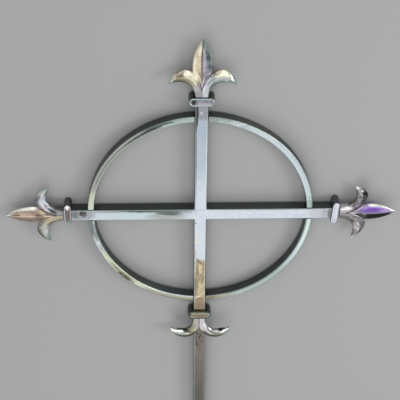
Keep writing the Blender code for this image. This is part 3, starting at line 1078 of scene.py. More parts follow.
@dataclass
class Ring:
    """The ring: flat bar on edge, bent and cut in quarters that butt against the bars.

    Attributes:
        layout: The layout of the cross.
        thickness: The width that the front shows.
        recess: How far the front lies behind the front of the bars.
        depth: The depth of the bar.
        edge: The rounding of its edges.
        crown: How much the front bulges.
        steps: Rows in one quarter.
        uneven: How far the faces wander, and over what length.
    """

    layout: Layout
    thickness: float = 6.2
    recess: float = 0.5
    depth: float = 11.0
    edge: float = 0.8
    crown: float = 0.12
    steps: int = 84
    uneven: Pair = (0.12, 21.0)

    def _section(self) -> np.ndarray:
        """The section as distance in from the outside, height, share across and closeness to an edge.

        Returns:
            One point a row.
        """
        half_wide, half_deep = self.thickness / 2, self.depth / 2
        flat_wide, flat_deep = half_wide - self.edge, half_deep - self.edge
        points = []
        for cos, sin in QUARTER_TURNS:
            wide, deep = (flat_wide, flat_deep) if sin == 0 else (flat_deep, flat_wide)
            side = [(wide * share, deep + self.edge) for share in (-1.0, -0.6, -0.2, 0.2, 0.6)]
            side += [(wide + self.edge * math.sin(angle), deep + self.edge * math.cos(angle))
                     for angle in np.linspace(0, math.pi / 2, 5)[:-1]]
            points += [(x * cos + z * sin, z * cos - x * sin) for x, z in side]
        found = np.array(points)
        outward, height = found[:, 0], found[:, 1]
        across = (outward + half_wide) / self.thickness
        bulge = self.crown * (1 - (outward / half_wide) ** 2) * (height > flat_deep)
        rim = np.clip(1 - np.hypot(half_wide - np.abs(outward), half_deep - height) / (1.6 * self.edge), 0, 1)
        return np.stack((half_wide - outward, height + bulge, across, rim), axis=-1)

    def quarter(self, name: str, turn: float) -> Piece:
        """Build one arc, whose ends lie flat along the bars.

        Args:
            name: The name of the piece.
            turn: The angle of its first end from +X, in radians.

        Returns:
            The object.
        """
        section = self._section()
        outside, side = self.layout.ring_radius / MM, self.layout.ring_side / MM
        middle = -self.recess - self.depth / 2
        rows = [(inset / outside, shrink) for inset, shrink in ARC_END]
        rows += [(step / self.steps, 0.0) for step in range(1, self.steps)]
        rows += [(1 - inset / outside, shrink) for inset, shrink in reversed(ARC_END)]
        points, along = [], []
        for share, shrink in rows:
            inward = section[:, 0] + (self.thickness / 2 - section[:, 0]) * shrink / (self.thickness / 2)
            height = section[:, 1] * (1 - shrink / (self.depth / 2))
            radius = outside - inward
            first = np.arcsin(side / radius)
            angle = turn + first + share * (math.pi / 2 - 2 * first)
            points.append(np.stack((radius * np.cos(angle), radius * np.sin(angle), middle + height), axis=-1))
            along.append(np.full(len(section), share))
        row_points = Seat(self.layout, 0.0, 0.0).to_row(np.array(points))
        shape = (len(rows), 1)
        skin = Skin(wobble(row_points, *self.uneven), np.array(along), np.tile(section[:, 2], shape),
                    np.tile(section[:, 3], shape))
        return skin_object(name, skin)

    def finishes(self) -> dict[str, SteelFinish]:
        """The finish of each quarter. Along runs counterclockwise, across from the inside out.

        Returns:
            Each quarter's finish by its name.
        """
        upper_right = (
            band(Tint.GREEN_GREY, (-0.1, 0.08), strength=0.8, fade=0.04),
            band(Tint.GREEN_GREY, (0.86, 1.1), strength=0.8),
            band(Tint.GREY, (0.955, 1.1), strength=0.8, fade=0.02),
            band(Tint.GREEN_WHITE, (0.55, 0.84), (0.80, 1.1), 0.7),
            band(Tint.GREEN_WHITE, (0.08, 0.26), (0.80, 1.1), 0.5),
            Streaks(Tint.WARM_GREY, 0.35, turn=12, stretch=0.2, grain=0.5, coverage=0.5,
                    inside=band(Tint.WARM_GREY, (0.74, 1.0))),
        )
        upper_left = (
            band(Tint.GREEN_GREY, (-0.1, 0.18), strength=0.9),
            band(Tint.STONE, (0.20, 0.95), strength=0.9, fade=0.06),
            band(Tint.SLATE, (0.13, 0.32), (0.52, 1.2), 0.9, fade=0.04, soft=0.08),
            band(Tint.BLACK, (0.20, 0.46), (0.30, 0.64), 0.9),
            band(Tint.DULL_GREY, (0.40, 0.82), (0.36, 0.58), 0.85),
            band(Tint.OLIVE_GREY, (0.52, 0.90), (0.84, 1.2), 0.8),
            band(Tint.GREEN_GREY, (0.16, 0.90), (-0.1, 0.20), 0.7),
            band(Tint.PALE_KHAKI, (0.87, 1.1), strength=0.7, fade=0.03),
        )
        lower_left = (
            band(Tint.DULL_GREY, (-0.1, 0.14), (0.28, 1.2), 0.9),
            band(Tint.GREY, (0.05, 0.15), (-0.1, 0.50), 0.8),
            band(Tint.PALE_KHAKI, (0.25, 0.66)),
            band(Tint.OLIVE, (0.36, 0.46), (0.20, 0.76), 0.8, fade=0.04),
            band(Tint.OLIVE, (0.45, 0.56), (0.18, 0.90), 0.9, fade=0.03),
            band(Tint.DARK_BROWN, (0.465, 0.555), (0.46, 0.96), 0.95, fade=0.02, ragged=0.2),
            band(Tint.KHAKI, (0.66, 1.1), (0.26, 1.2), 0.95),
            band(Tint.GREEN_WHITE, (0.64, 0.78), (-0.1, 0.24), 0.7),
            band(Tint.OLIVE, (0.76, 1.1), (0.72, 1.2), 0.8),
            Streaks(Tint.DULL_GREY, 0.5, turn=-75, stretch=0.18, grain=0.5, coverage=0.4,
                    inside=band(Tint.DULL_GREY, (0.0, 0.3))),
        )
        lower_right = (
            band(Tint.KHAKI, (-0.1, 0.20), strength=0.9),
            band(Tint.OLIVE, (-0.1, 0.07), (-0.1, 0.50)),
            band(Tint.WARM_GREY, (-0.1, 0.07), (0.42, 1.2)),
            band(Tint.GREEN_GREY, (0.20, 0.62), (0.20, 1.2), 0.8, fade=0.1),
            band(Tint.SLATE, (0.14, 1.1), (-0.2, 0.20), 0.9),
            band(Tint.GREEN_SILVER, (0.76, 1.1), (0.42, 1.2), 0.8, fade=0.1),
        )
        made = {}
        for name, marks in (("upper_right", upper_right), ("upper_left", upper_left), ("lower_left", lower_left),
                            ("lower_right", lower_right)):
            # Painted highlight on the edges of the arcs and painted shade on their sides.
            ends = (RimHighlight(Tint.GREEN_SILVER, 0.45), ShadedSides(Tint.SCALE, 0.9, 0.12, low=0.35, high=0.7))
            made[name] = SteelFinish("ring_steel_" + name, Tint.COOL_SILVER, Tint.SILVER, (*marks, *ends),
                                     rough=0.27)
        return made

    def dress(self, effects: Effects) -> None:
        """Build the four quarters and give each its finish."""
        for index, (name, finish) in enumerate(self.finishes().items()):
            piece = self.quarter("ring_arc_" + name, index * math.pi / 2)
            wear(piece, finish.material(effects), ("ring_" + name,))


@dataclass
class Collar:
    """A band round a bar: a pill from the front, with a raised rim round a flat face.

    Attributes:
        name: Which collar it is.
        seat: Where its outer face stands.
        finish: Its finish.
        front: The height of its front face over the front of the bars.
        skew: How far it is turned on the bar, in degrees.
        room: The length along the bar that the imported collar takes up.
        length: Its own length along the bar, in the middle of that.
        width: Its width across the bar.
        proud: How far it stands behind the back of the bars.
        rim: The rounding of its rim.
        lip: How far the inside of the rim slopes.
        sunk: How far the face lies below the rim.
        clearance: The air round the bar.
        shift: How far it sits off the middle of the bar.
        stem_room: The height of the slot for stems in its outer face, over the front of the bars.
        uneven: How far the faces wander, and over what length.
    """

    name: str
    seat: Seat
    finish: SteelFinish
    front: float = 2.0
    skew: float = 0.0
    room: float = 9.0
    length: float = 8.8
    width: float = 24.2
    proud: float = 2.0
    rim: float = 1.25
    lip: float = 0.8
    sunk: float = 0.45
    clearance: float = SEAT_AIR
    shift: float = 0.0
    stem_room: float = 0.0
    uneven: Pair = (0.08, 9.0)

    def _outline(self, inset: float) -> np.ndarray:
        """The pill's outline in X and Y.

        Args:
            inset: How far it is drawn in.

        Returns:
            The points once round.
        """
        half_x, half_y = self.width / 2 - inset, self.length / 2 - inset
        radius = half_y - 0.05
        points = []
        for cos, sin in QUARTER_TURNS:
            wide, tall = (half_x, half_y) if sin == 0 else (half_y, half_x)
            for angle in np.linspace(0, math.pi / 2, 10):
                x, y = wide - radius + radius * math.cos(angle), tall - radius + radius * math.sin(angle)
                points.append((x * cos - y * sin, x * sin + y * cos))
            for share in (0.2, 0.4, 0.6, 0.8):
                reach = blend(wide - radius, -(wide - radius), share)
                points.append((reach * cos - tall * sin, reach * sin + tall * cos))
        return np.array(points)

    def _levels(self, bottom: float, top: float) -> list[tuple[float, float, float]]:
        """The height, inset and closeness to the rim of each outline, from the back to the front.

        Args:
            bottom: The height of the back.
            top: The height of the rim.

        Returns:
            The three of each outline.
        """
        levels = [(bottom, self.rim + self.lip, 0.0)]
        levels += [(bottom + self.rim * (1 - math.sin(angle)), self.rim * (1 - math.cos(angle)), 1.0)
                   for angle in np.linspace(math.pi / 2, 0, 6)]
        levels += [(blend(bottom + self.rim, top - self.rim, share), 0.0, 0.0) for share in (0.2, 0.5, 0.8)]
        levels += [(top - self.rim * (1 - math.sin(angle)), self.rim * (1 - math.cos(angle)), 1.0)
                   for angle in np.linspace(0, math.pi / 2, 8)]
        for share, edge in ((0.15, 1.0), (0.5, 0.8), (0.85, 0.3), (1.0, 0.0)):
            levels.append((top - self.sunk * ease(share, 0.0, 1.0), self.rim + self.lip * share, edge))
        last = self.length / 2 - 0.25
        levels += [(top - self.sunk, blend(self.rim + self.lip, last, share), 0.0) for share in (0.5, 1.0)]
        return levels

    def build(self) -> Piece:
        """Build the collar and cut its holes.

        Returns:
            The object.
        """
        depth = 2 * self.seat.layout.half_bar / MM
        points, rim, across = [], [], []
        skew = math.radians(self.skew)
        for height, inset, edge in self._levels(-depth - self.proud, self.front):
            outline = self._outline(inset)
            x = outline[:, 0] * math.cos(skew) - outline[:, 1] * math.sin(skew) + self.shift
            y = outline[:, 0] * math.sin(skew) + outline[:, 1] * math.cos(skew) - self.room / 2
            points.append(np.stack((x, y, np.full(len(outline), height)), axis=-1))
            rim.append(np.full(len(outline), edge))
            across.append(outline[:, 0] / self.width + 0.5)
        placed = wobble(self.seat.to_row(np.array(points)), *self.uneven)
        made = skin_object("collar_band_" + self.name, Skin(placed, np.array(across), np.array(across),
                                                            np.array(rim)), COLLAR_CREASE)
        hole = self.seat.layout.half_bar / MM + self.clearance
        self._cut(made, (-hole, -2 * self.room, -depth - self.clearance), (hole, self.room, self.clearance))
        if self.stem_room:
            self._cut(made, (-hole, -self.room / 2 - self.clearance, 0.0), (hole, self.room, self.stem_room))
        return made

    def _cut(self, made: Piece, low: Sequence[float], high: Sequence[float]) -> None:
        """Take a square hole out of the band.

        Args:
            made: The band.
            low: The lowest corner of the hole, in local millimetres.
            high: Its highest corner.
        """
        corners = [(x, y, z) for x in (low[0], high[0]) for y in (low[1], high[1]) for z in (low[2], high[2])]
        faces = ((0, 1, 3, 2), (4, 6, 7, 5), (0, 4, 5, 1), (2, 3, 7, 6), (0, 2, 6, 4), (1, 5, 7, 3))
        tool = mesh_object("collar_hole", self.seat.to_row(np.array(corners, float)), faces, {})
        cut = made.modifiers.new("square hole", "BOOLEAN")
        cut.operation, cut.solver, cut.object = "DIFFERENCE", "EXACT", tool
        evaluated = made.evaluated_get(bpy.context.evaluated_depsgraph_get())
        mesh = bpy.data.meshes.new_from_object(evaluated)
        made.modifiers.clear()
        made.data = mesh
        bpy.data.objects.remove(tool)

    def dress(self, effects: Effects) -> None:
        """Build the collar and give it its finish."""
        wear(self.build(), self.finish.material(effects), ("collar_" + self.name,))


def blade_object(name: str, seat: Seat, rows: Sequence[tuple], wave: float) -> Piece:
    """Make a spear or a leaf from its rows of points.

    Args:
        name: The name of the piece.
        seat: Where it stands.
        rows: The points of each row, its share of the length, and each point's share across and
            closeness to an edge.
        wave: The size of the unevenness, in millimetres.

    Returns:
        The object.
    """
    points, shares, across, rim = zip(*rows)
    along = [np.full(len(row), share) for row, share in zip(points, shares)]
    placed = wobble(seat.to_row(np.array(points)), BLADE_UNEVENNESS, wave)
    return skin_object(name, Skin(placed, np.array(along), np.array(across), np.array(rim)), BLADE_CREASE)


@dataclass(frozen=True)
class BladeSection:
    """The shape across a spear or a leaf.

    Attributes:
        ridge_soft: How round the ridge is, as a share of the half width.
        crown: How much each facet bulges.
        edge_round: The rounding of the blunt edge.
        rim_width: How far in the edge's own finish reaches.
    """

    ridge_soft: float = 0.05
    crown: float = 0.22
    edge_round: float = 0.7
    rim_width: float = 1.3

    def samples(self) -> np.ndarray:
        """Shares across the front, closer together at the edges and at the ridge."""
        half = np.array([0.0, 0.012, 0.03, 0.06, 0.10, 0.16, 0.23, 0.30, 0.36, 0.41, 0.45, 0.475, 0.49])
        return np.concatenate((half, [0.5], 1 - half[::-1]))

    def tent(self, across: np.ndarray) -> np.ndarray:
        """0 at both edges and 1 at the ridge, whose top is rounded."""
        off = np.abs(2 * across - 1)
        soft = self.ridge_soft
        return 1 - (np.sqrt(off ** 2 + soft ** 2) - soft) / (math.sqrt(1 + soft ** 2) - soft)

    def rows(self, first: np.ndarray, second: np.ndarray, front: Pair, back: Pair
             ) -> tuple[np.ndarray, np.ndarray, np.ndarray]:
        """One closed row over the front and back of a blade.

        Args:
            first: The edge where across is 0, as X and Y.
            second: The edge where across is 1.
            front: The height of the edge and of the ridge in front.
            back: The same behind.

        Returns:
            The points, the share across and the closeness to an edge of each.
        """
        across = self.samples()
        width = float(np.hypot(*(second - first)))
        tent = self.tent(across)
        off_edge = np.minimum(across, 1 - across) * width
        radius = min(self.edge_round, 0.48 * (front[0] - back[0]), 0.45 * width + 1e-6)
        drop = radius - np.sqrt(np.clip(radius ** 2 - np.clip(radius - off_edge, 0, None) ** 2, 0, None))
        bulge = self.crown * 4 * tent * (1 - tent) * min(1.0, width / 8)
        plan = first + (second - first) * across[:, None]
        front_z = front[0] + (front[1] - front[0]) * tent + bulge - drop
        back_z = back[0] + (back[1] - back[0]) * tent - bulge + drop
        front_row = np.column_stack((plan, front_z))
        back_row = np.column_stack((plan, back_z))[::-1]
        rim = np.clip(1 - off_edge / self.rim_width, 0, 1)
        return (np.concatenate((front_row, back_row)), np.concatenate((across, across[::-1])),
                np.concatenate((rim, rim[::-1])))


@dataclass(frozen=True)
class LeafOutline:
    """The outline of a curled leaf, for the side at +X, from the collar to the tip.

    Attributes:
        part_up: The height at which the two leaves part.
        crest: The highest point of the convex edge.
        hollow: The highest point of the concave edge.
        tip: The tip.
        half_bar: Half the thickness of the bar.
        neck: The height of the straight neck.
        blunt: The thickness of the tip.
        gap: The parting between the two stems.
        bulge: How full the convex edge is past its crest.
    """

    part_up: float
    crest: Pair
    hollow: Pair
    tip: Pair
    half_bar: float = 6.0
    neck: float = 1.0
    blunt: float = 1.3
    gap: float = 0.06
    bulge: float = 0.92

    def convex(self, share: float) -> np.ndarray:
        """A point on the convex edge.

        Args:
            share: How far along the leaf.

        Returns:
            The point.
        """
        root, crest = np.array((self.gap / 2, self.part_up)), np.array(self.crest)
        tip = np.array((self.tip[0], self.tip[1] + self.blunt / 2))
        past, rise = tip[0] - crest[0], crest[1] - self.part_up
        if share < 0.5:
            return bezier(root, root + np.array((0.05 * crest[0], 0.5 * rise)),
                          np.array((0.5 * crest[0], crest[1])), crest, 2 * share)
        slack = 1 - self.bulge
        bend = np.array((tip[0] - (0.06 + 0.4 * slack) * past, self.tip[1] + 0.46 * (crest[1] - self.tip[1])))
        return bezier(crest, crest + np.array(((0.5 - 0.5 * slack) * past, 0.0)), bend, tip, 2 * share - 1)

    def concave(self, share: float) -> np.ndarray:
        """A point on the concave edge.

        Args:
            share: How far along the leaf.

        Returns:
            The point.
        """
        neck, hollow = np.array((self.half_bar, self.neck)), np.array(self.hollow)
        tip = np.array((self.tip[0], self.tip[1] - self.blunt / 2))
        past, flare = tip[0] - hollow[0], hollow[0] - self.half_bar
        if share < 0.5:
            return bezier(neck, np.array((neck[0] + 0.03 * flare, 0.6 * hollow[1])),
                          np.array((neck[0] + 0.45 * flare, hollow[1])), hollow, 2 * share)
        bend = np.array((tip[0] - 0.24 * past, self.tip[1] + 0.30 * (hollow[1] - self.tip[1])))
        return bezier(hollow, hollow + np.array((0.42 * past, 0.0)), bend, tip, 2 * share - 1)

    def inner_width(self, up: float) -> float:
        """How far the convex edge is from the axis at a height below the crest."""
        return float(self.convex(solve(lambda share: self.convex(share)[1], up, 0.0, 0.5))[0])


class LeafKind(Enum):
    """The two kinds of leaf."""

    END = "end"
    FOOT = "foot"


@dataclass
class Leaf:
    """One curled leaf on its stem.

    Attributes:
        name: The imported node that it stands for.
        seat: Where its collar's outer face stands.
        side: 1 for the leaf at local +X and -1 for the one at -X.
        kind: Which kind of leaf it is.
        outline: Its outline.
        finish: Its finish.
        steps: Rows from the root to the tip.
        forward: The middle plane of the blade, from the middle of the bar.
        ridge: The height of the ridge over that plane.
        edge: Half the thickness of the blunt edge.
        stem_depth: The depth of the stem.
        stem_ease: How much the corners of the stem are eased.
        full_width: The width at which the leaf has its full height.
        foot_stem: The thickness of a foot leaf's stem.
        foot_ridge: The height of a foot leaf's ridge.
        foot_back: How far a foot leaf bulges behind, past the shaft.
        foot_root: Where a foot leaf's stem starts, inside its collar.
        wave: The size of the unevenness.
    """

    name: str
    seat: Seat
    side: int
    kind: LeafKind
    outline: LeafOutline
    finish: SteelFinish
    steps: int = 64
    forward: float = 2.8
    ridge: float = 2.7
    edge: float = 0.8
    stem_depth: float = 8.5
    stem_ease: float = 0.2
    full_width: float = 9.0
    foot_stem: float = 2.6
    foot_ridge: float = 4.4
    foot_back: float = 3.0
    foot_root: float = -4.5
    wave: float = 8.0

    def _section(self, share: float) -> BladeSection:
        """The shape across: soft on the stem, and crisp on an end leaf's blade.

        Args:
            share: How far along the leaf.

        Returns:
            The section.
        """
        if self.kind is LeafKind.FOOT:
            return BladeSection(ridge_soft=0.6, crown=0.25, edge_round=blend(0.14, 0.8, ease(share, 0.1, 0.4)))
        blade = ease(share, 0.08, 0.34)
        return BladeSection(blend(0.9, 0.08, blade), 0.15, blend(0.14, 0.6, blade))

    def _levels(self, share: float, width: float) -> tuple[Pair, Pair]:
        """The edge and the ridge in front, and the same behind, over the middle of the bar.

        Args:
            share: How far along the leaf.
            width: The width of the leaf there.

        Returns:
            The two pairs of heights, in millimetres.
        """
        half = self.seat.layout.half_bar / MM
        taper = min(1.0, width / self.full_width) ** 0.8
        if self.kind is LeafKind.END:
            leafy = ease(share, 0.0, 0.36)
            edge, ridge = self.edge * taper, self.ridge * taper
            stem_back = half - self.stem_depth
            return ((blend(half - self.stem_ease, self.forward + edge, leafy),
                     blend(half, self.forward + ridge, leafy)),
                    (blend(stem_back + self.stem_ease, self.forward - edge, leafy),
                     blend(stem_back, self.forward - ridge, leafy)))
        leafy, past = ease(share, 0.0, 0.40), ease(share, 0.36, 0.56)
        base = half + SEAT_AIR
        front_edge = blend(base + self.foot_stem - self.stem_ease, base + 2 * self.edge * taper, leafy)
        front_ridge = base + blend(self.foot_stem, self.foot_ridge * taper, leafy)
        return ((front_edge, front_ridge),
                (blend(base, base - self.edge, past), base - self.foot_back * past * taper))

    def build(self) -> Piece:
        """Build the leaf.

        Returns:
            The object.
        """
        outline = self.outline
        root_up = SEAT_AIR if self.kind is LeafKind.END else self.foot_root
        half = self.seat.layout.half_bar / MM
        stem = (np.array((outline.gap / 2, root_up)), np.array((half, root_up)))
        rows = [(stem[0], stem[1], 0.0, self.full_width)]
        for step in range(self.steps + 1):
            share = step / self.steps
            first, second = outline.convex(share), outline.concave(share)
            rows.append((first, second, share, float(np.hypot(*(second - first)))))
        made = []
        for first, second, share, width in rows:
            row, across, edges = self._section(share).rows(first, second, *self._levels(share, width))
            row[:, 2] -= half
            row[:, 0] *= self.side
            made.append((row, share, across, edges))
        return blade_object("leaf_blade_" + self.name, self.seat, made, self.wave)

    def dress(self, effects: Effects) -> None:
        """Build the leaf and give it its finish."""
        wear(self.build(), self.finish.material(effects), ("leaf_" + self.name,))


@dataclass
class Spear:
    """A ridged blade, narrow between the leaves and pointed at the tip.

    Attributes:
        name: Which spear it is.
        seat: Where its collar's outer face stands.
        leaves: The outlines of the leaves at local -X and +X.
        finish: Its finish.
        length: From the collar to the tip.
        widest_at: The height where it is widest.
        half_width: Half its width there.
        belly: How fast it narrows below.
        shoulder: How long it stays wide above, as a share.
        base_half_width: Half the width of its root.
        tip_half_width: Half the width of its tip.
        forward: The middle plane of the blade, from the middle of the bar.
        ridge: The height of the ridge over that plane.
        edge: Half the thickness of the blunt edge.
        steps: Rows below and above the widest place.
        wave: The size of the unevenness.
    """

    name: str
    seat: Seat
    leaves: tuple[LeafOutline, LeafOutline]
    finish: SteelFinish
    length: float = 56.2
    widest_at: float = 30.0
    half_width: float = 9.2
    belly: float = 29.0
    shoulder: float = 0.38
    base_half_width: float = 0.5
    tip_half_width: float = 0.3
    forward: float = 2.8
    ridge: float = 3.5
    edge: float = 0.8
    steps: int = 30
    wave: float = 9.0

    def _half_width(self, up: float, leaf: LeafOutline) -> float:
        """Half the width at a height, on the side of one leaf.

        Args:
            up: The height.
            leaf: The outline of that leaf.

        Returns:
            Half the width.
        """
        if up >= self.widest_at:
            length = self.length - self.widest_at
            ends = [np.array(pair) for pair in ((self.half_width, 0.0), (self.half_width, self.shoulder * length),
                                                (0.5 * self.half_width, 0.75 * length),
                                                (self.tip_half_width, length))]
            share = solve(lambda at: bezier(*ends, at)[1], up - self.widest_at, 0.0, 1.0)
            return float(bezier(*ends, share)[0])
        blade = self.half_width * math.cos((self.widest_at - up) / self.belly)
        if up < leaf.crest[1]:
            return min(blade, leaf.inner_width(up) - leaf.gap)
        return blade

    def build(self) -> Piece:
        """Build the spear.

        Returns:
            The object.
        """
        half = self.seat.layout.half_bar / MM
        slope = (self.ridge - self.edge) / self.half_width
        start = max(solve(lambda up: leaf.inner_width(up) - leaf.gap, self.base_half_width, leaf.part_up,
                          leaf.crest[1]) for leaf in self.leaves)
        heights = list(np.linspace(start, self.widest_at, self.steps)[:-1])
        heights += [blend(self.widest_at, self.length, math.sin(math.pi / 2 * step / self.steps))
                    for step in range(self.steps + 1)]
        section = BladeSection()
        made = []
        for up in heights:
            left, right = (self._half_width(up, leaf) for leaf in self.leaves)
            wide = (left + right) / 2
            rise = slope * (wide if up > self.widest_at else self.half_width)
            ridge = self.edge + rise
            edge = ridge - slope * wide
            row, across, edges = section.rows(np.array((-left, up)), np.array((right, up)),
                                              (self.forward + edge, self.forward + ridge),
                                              (self.forward - edge, self.forward - ridge))
            row[:, 2] -= half
            made.append((row, (up - start) / (self.length - start), across, edges))
        return blade_object("spear_blade_" + self.name, self.seat, made, self.wave)

    def dress(self, effects: Effects) -> None:
        """Build the spear and give it its finish."""
        wear(self.build(), self.finish.material(effects), ("spear_" + self.name,))


@dataclass
class BarEnd:
    """A collar with a pair of curled leaves.

    Attributes:
        seat: Where the collar's outer face stands.
        minus: The outline of the leaf at local -X.
        plus: The outline of the leaf at local +X.
    """

    seat: Seat
    minus: LeafOutline
    plus: LeafOutline

    def leaf_finish(self, side: int) -> SteelFinish:
        """The finish of the leaf on one side."""
        raise NotImplementedError

    def dress_leaves(self, effects: Effects, kind: LeafKind, plus: str, minus: str) -> None:
        """Build and finish both leaves, the one at local +X first, by their packed names."""
        for side, name, outline in ((1, plus, self.plus), (-1, minus, self.minus)):
            Leaf(name, self.seat, side, kind, outline, self.leaf_finish(side)).dress(effects)


@dataclass
class TopEnd(BarEnd):
    """The fleur-de-lis at the top: cream and slate spear, cream leaves with brown smears."""

    minus: LeafOutline = LeafOutline(5.0, (15.2, 27.0), (20.3, 14.7), (30.3, 13.1))
    plus: LeafOutline = LeafOutline(5.0, (18.7, 26.8), (20.2, 14.1), (31.5, 12.0))

    def spear_finish(self) -> SteelFinish:
        """Cream on the left facet, lilac to slate on the right one, and a dark ridge; the facets differ partly by
        heat tint and partly by painted reflection.

        Returns:
            The finish.
        """
        marks = (
            band(Tint.FAWN, (0.16, 0.70), (0.26, 0.5), 0.6),
            band(Tint.TAUPE, (0.06, 0.34), (0.28, 0.5), 0.75),
            band(Tint.CREAM, (0.19, 1.1), (-0.1, 0.13), fade=0.04),
            band(Tint.CREAM, (0.74, 1.0), (-0.1, 0.43), 0.9),
            band(Tint.GREEN_GREY, (0.90, 1.2), (0.28, 0.50), 0.8),
            band(Tint.PALE_LILAC, (-0.1, 1.1), (0.5, 1.2), soft=0.012, ragged=0.02),
            band(Tint.ASH, (-0.1, 0.11), strength=0.9, fade=0.04),
            band(Tint.ASH, (0.18, 0.36), (0.52, 1.2), 0.8),
            band(Tint.STEEL_BLUE, (0.38, 0.72), (0.72, 1.2), 0.9),
            band(Tint.DULL_GREY, (0.42, 0.48), (0.84, 1.2), 0.8, fade=0.03),
            band(Tint.DULL_GREY, (0.59, 1.1), (0.72, 1.2)),
            band(Tint.SLATE, (0.62, 0.93), (0.86, 1.2)),
            band(Tint.GREEN_GREY, (0.82, 1.2), (0.50, 0.74), 0.9),
            band(Tint.DULL_GREY, (0.90, 1.2), (0.50, 1.2), 0.9),
            band(Tint.ASH, (0.12, 0.80), (0.50, 0.57), 0.8, soft=0.02),
            band(Tint.TAUPE, (0.12, 0.80), (0.43, 0.505), 0.9, soft=0.015, ragged=0.02),
            band(Tint.CHARCOAL, (0.10, 0.94), (0.468, 0.51), 0.9, soft=0.01, ragged=0.01),
            # Painted highlight along the right edge.
            band(Tint.GREEN_WHITE, (0.46, 0.95), (0.965, 1.1), 0.8, soft=0.01, ragged=0.01),
        )
        return SteelFinish("spear_steel_top", Tint.SAND, Tint.BUFF, marks, rough=0.26)

    def leaf_finish(self, side: int) -> SteelFinish:
        """Cream upper facets with a brown smear, and darker lower ones; the facets differ partly by heat tint and
        partly by painted reflection.

        Args:
            side: 1 for the right leaf and -1 for the left one.

        Returns:
            The finish.
        """
        if side > 0:
            marks = (
                band(Tint.PALE_LILAC, (0.02, 0.20), (-0.1, 0.28), 0.9),
                band(Tint.GREEN_GREY, (0.18, 0.52), (0.74, 1.2), 0.9),
                band(Tint.CREAM, (0.38, 0.72), (-0.1, 0.50)),
                band(Tint.GREEN_WHITE, (0.64, 0.84), (-0.1, 0.28), 0.7),
                band(Tint.ASH, (0.40, 0.70), (0.50, 0.76), 0.8),
                band(Tint.GREEN_SILVER, (0.56, 1.2), (0.72, 1.2), 0.9),
                band(Tint.UMBER, (0.28, 0.42), (-0.1, 0.28), 0.75, ragged=0.3),
                band(Tint.STRAW, (0.38, 0.50), (-0.1, 0.24), 0.6, ragged=0.3),
                band(Tint.OLIVE_GREY, (0.71, 0.78), (0.24, 0.50), 0.6),
                band(Tint.GREEN_SILVER, (0.76, 1.2), (0.3, 1.2), 0.8),
                band(Tint.GREEN_SILVER, (0.84, 1.2), (-0.1, 0.30), 0.9),
            )
            return SteelFinish("leaf_steel_top_right", Tint.COOL_ASH, Tint.SILVER, marks, rough=0.25)
        marks = (
            band(Tint.ASH, (-0.1, 0.19), strength=0.85),
            band(Tint.GREY, (-0.1, 0.08), (0.26, 1.2), 0.7),
            band(Tint.CREAM, (0.19, 0.50), (-0.1, 0.50)),
            band(Tint.PEARL, (0.44, 0.76), (-0.1, 0.30), 0.4),
            band(Tint.UMBER, (0.50, 0.69), (0.24, 0.52), 0.9, ragged=0.3),
            band(Tint.OLIVE, (0.38, 0.62), (0.74, 1.2), 0.8),
            band(Tint.CREAM, (0.70, 0.84), (-0.1, 0.50)),
            band(Tint.GREEN_GREY, (0.68, 0.84), (0.56, 1.2), 0.8),
            band(Tint.GREEN_WHITE, (0.80, 0.90), strength=0.9),
            band(Tint.GREEN_SILVER, (0.88, 1.2), strength=0.9),
        )
        return SteelFinish("leaf_steel_top_left", Tint.KHAKI, Tint.STRAW, marks, rough=0.25)

    def collar_finish(self) -> SteelFinish:
        """A grey-lilac face with a dark spot, in a rim paled by painted highlight.

        Returns:
            The finish.
        """
        marks = (
            spot(Tint.ASH, self.seat.to_cross(2, -6.6), (8, 1.6), 0.8),
            spot(Tint.BLACK, self.seat.to_cross(-7.2, -3.8), (2.2, 3.0), 0.95, soft=0.3, ragged=0.8, grain=0.5),
            RimHighlight(Tint.COOL_SILVER, 0.9, low=0.15, high=0.85),
            COLLAR_SHADED_SIDES)
        return SteelFinish("collar_steel_top", Tint.GREY, Tint.LILAC_SHADE, marks, rough=0.28, clouds=0.4)

    def dress(self, effects: Effects) -> None:
        """Build and finish the collar, the spear and the leaves.

        Args:
            effects: The shared node groups.
        """
        Collar("top", self.seat, self.collar_finish()).dress(effects)
        Spear("top", self.seat, (self.minus, self.plus), self.spear_finish(), half_width=8.9,
              shoulder=0.5).dress(effects)
        self.dress_leaves(effects, LeafKind.END, "top_right", "top_left")


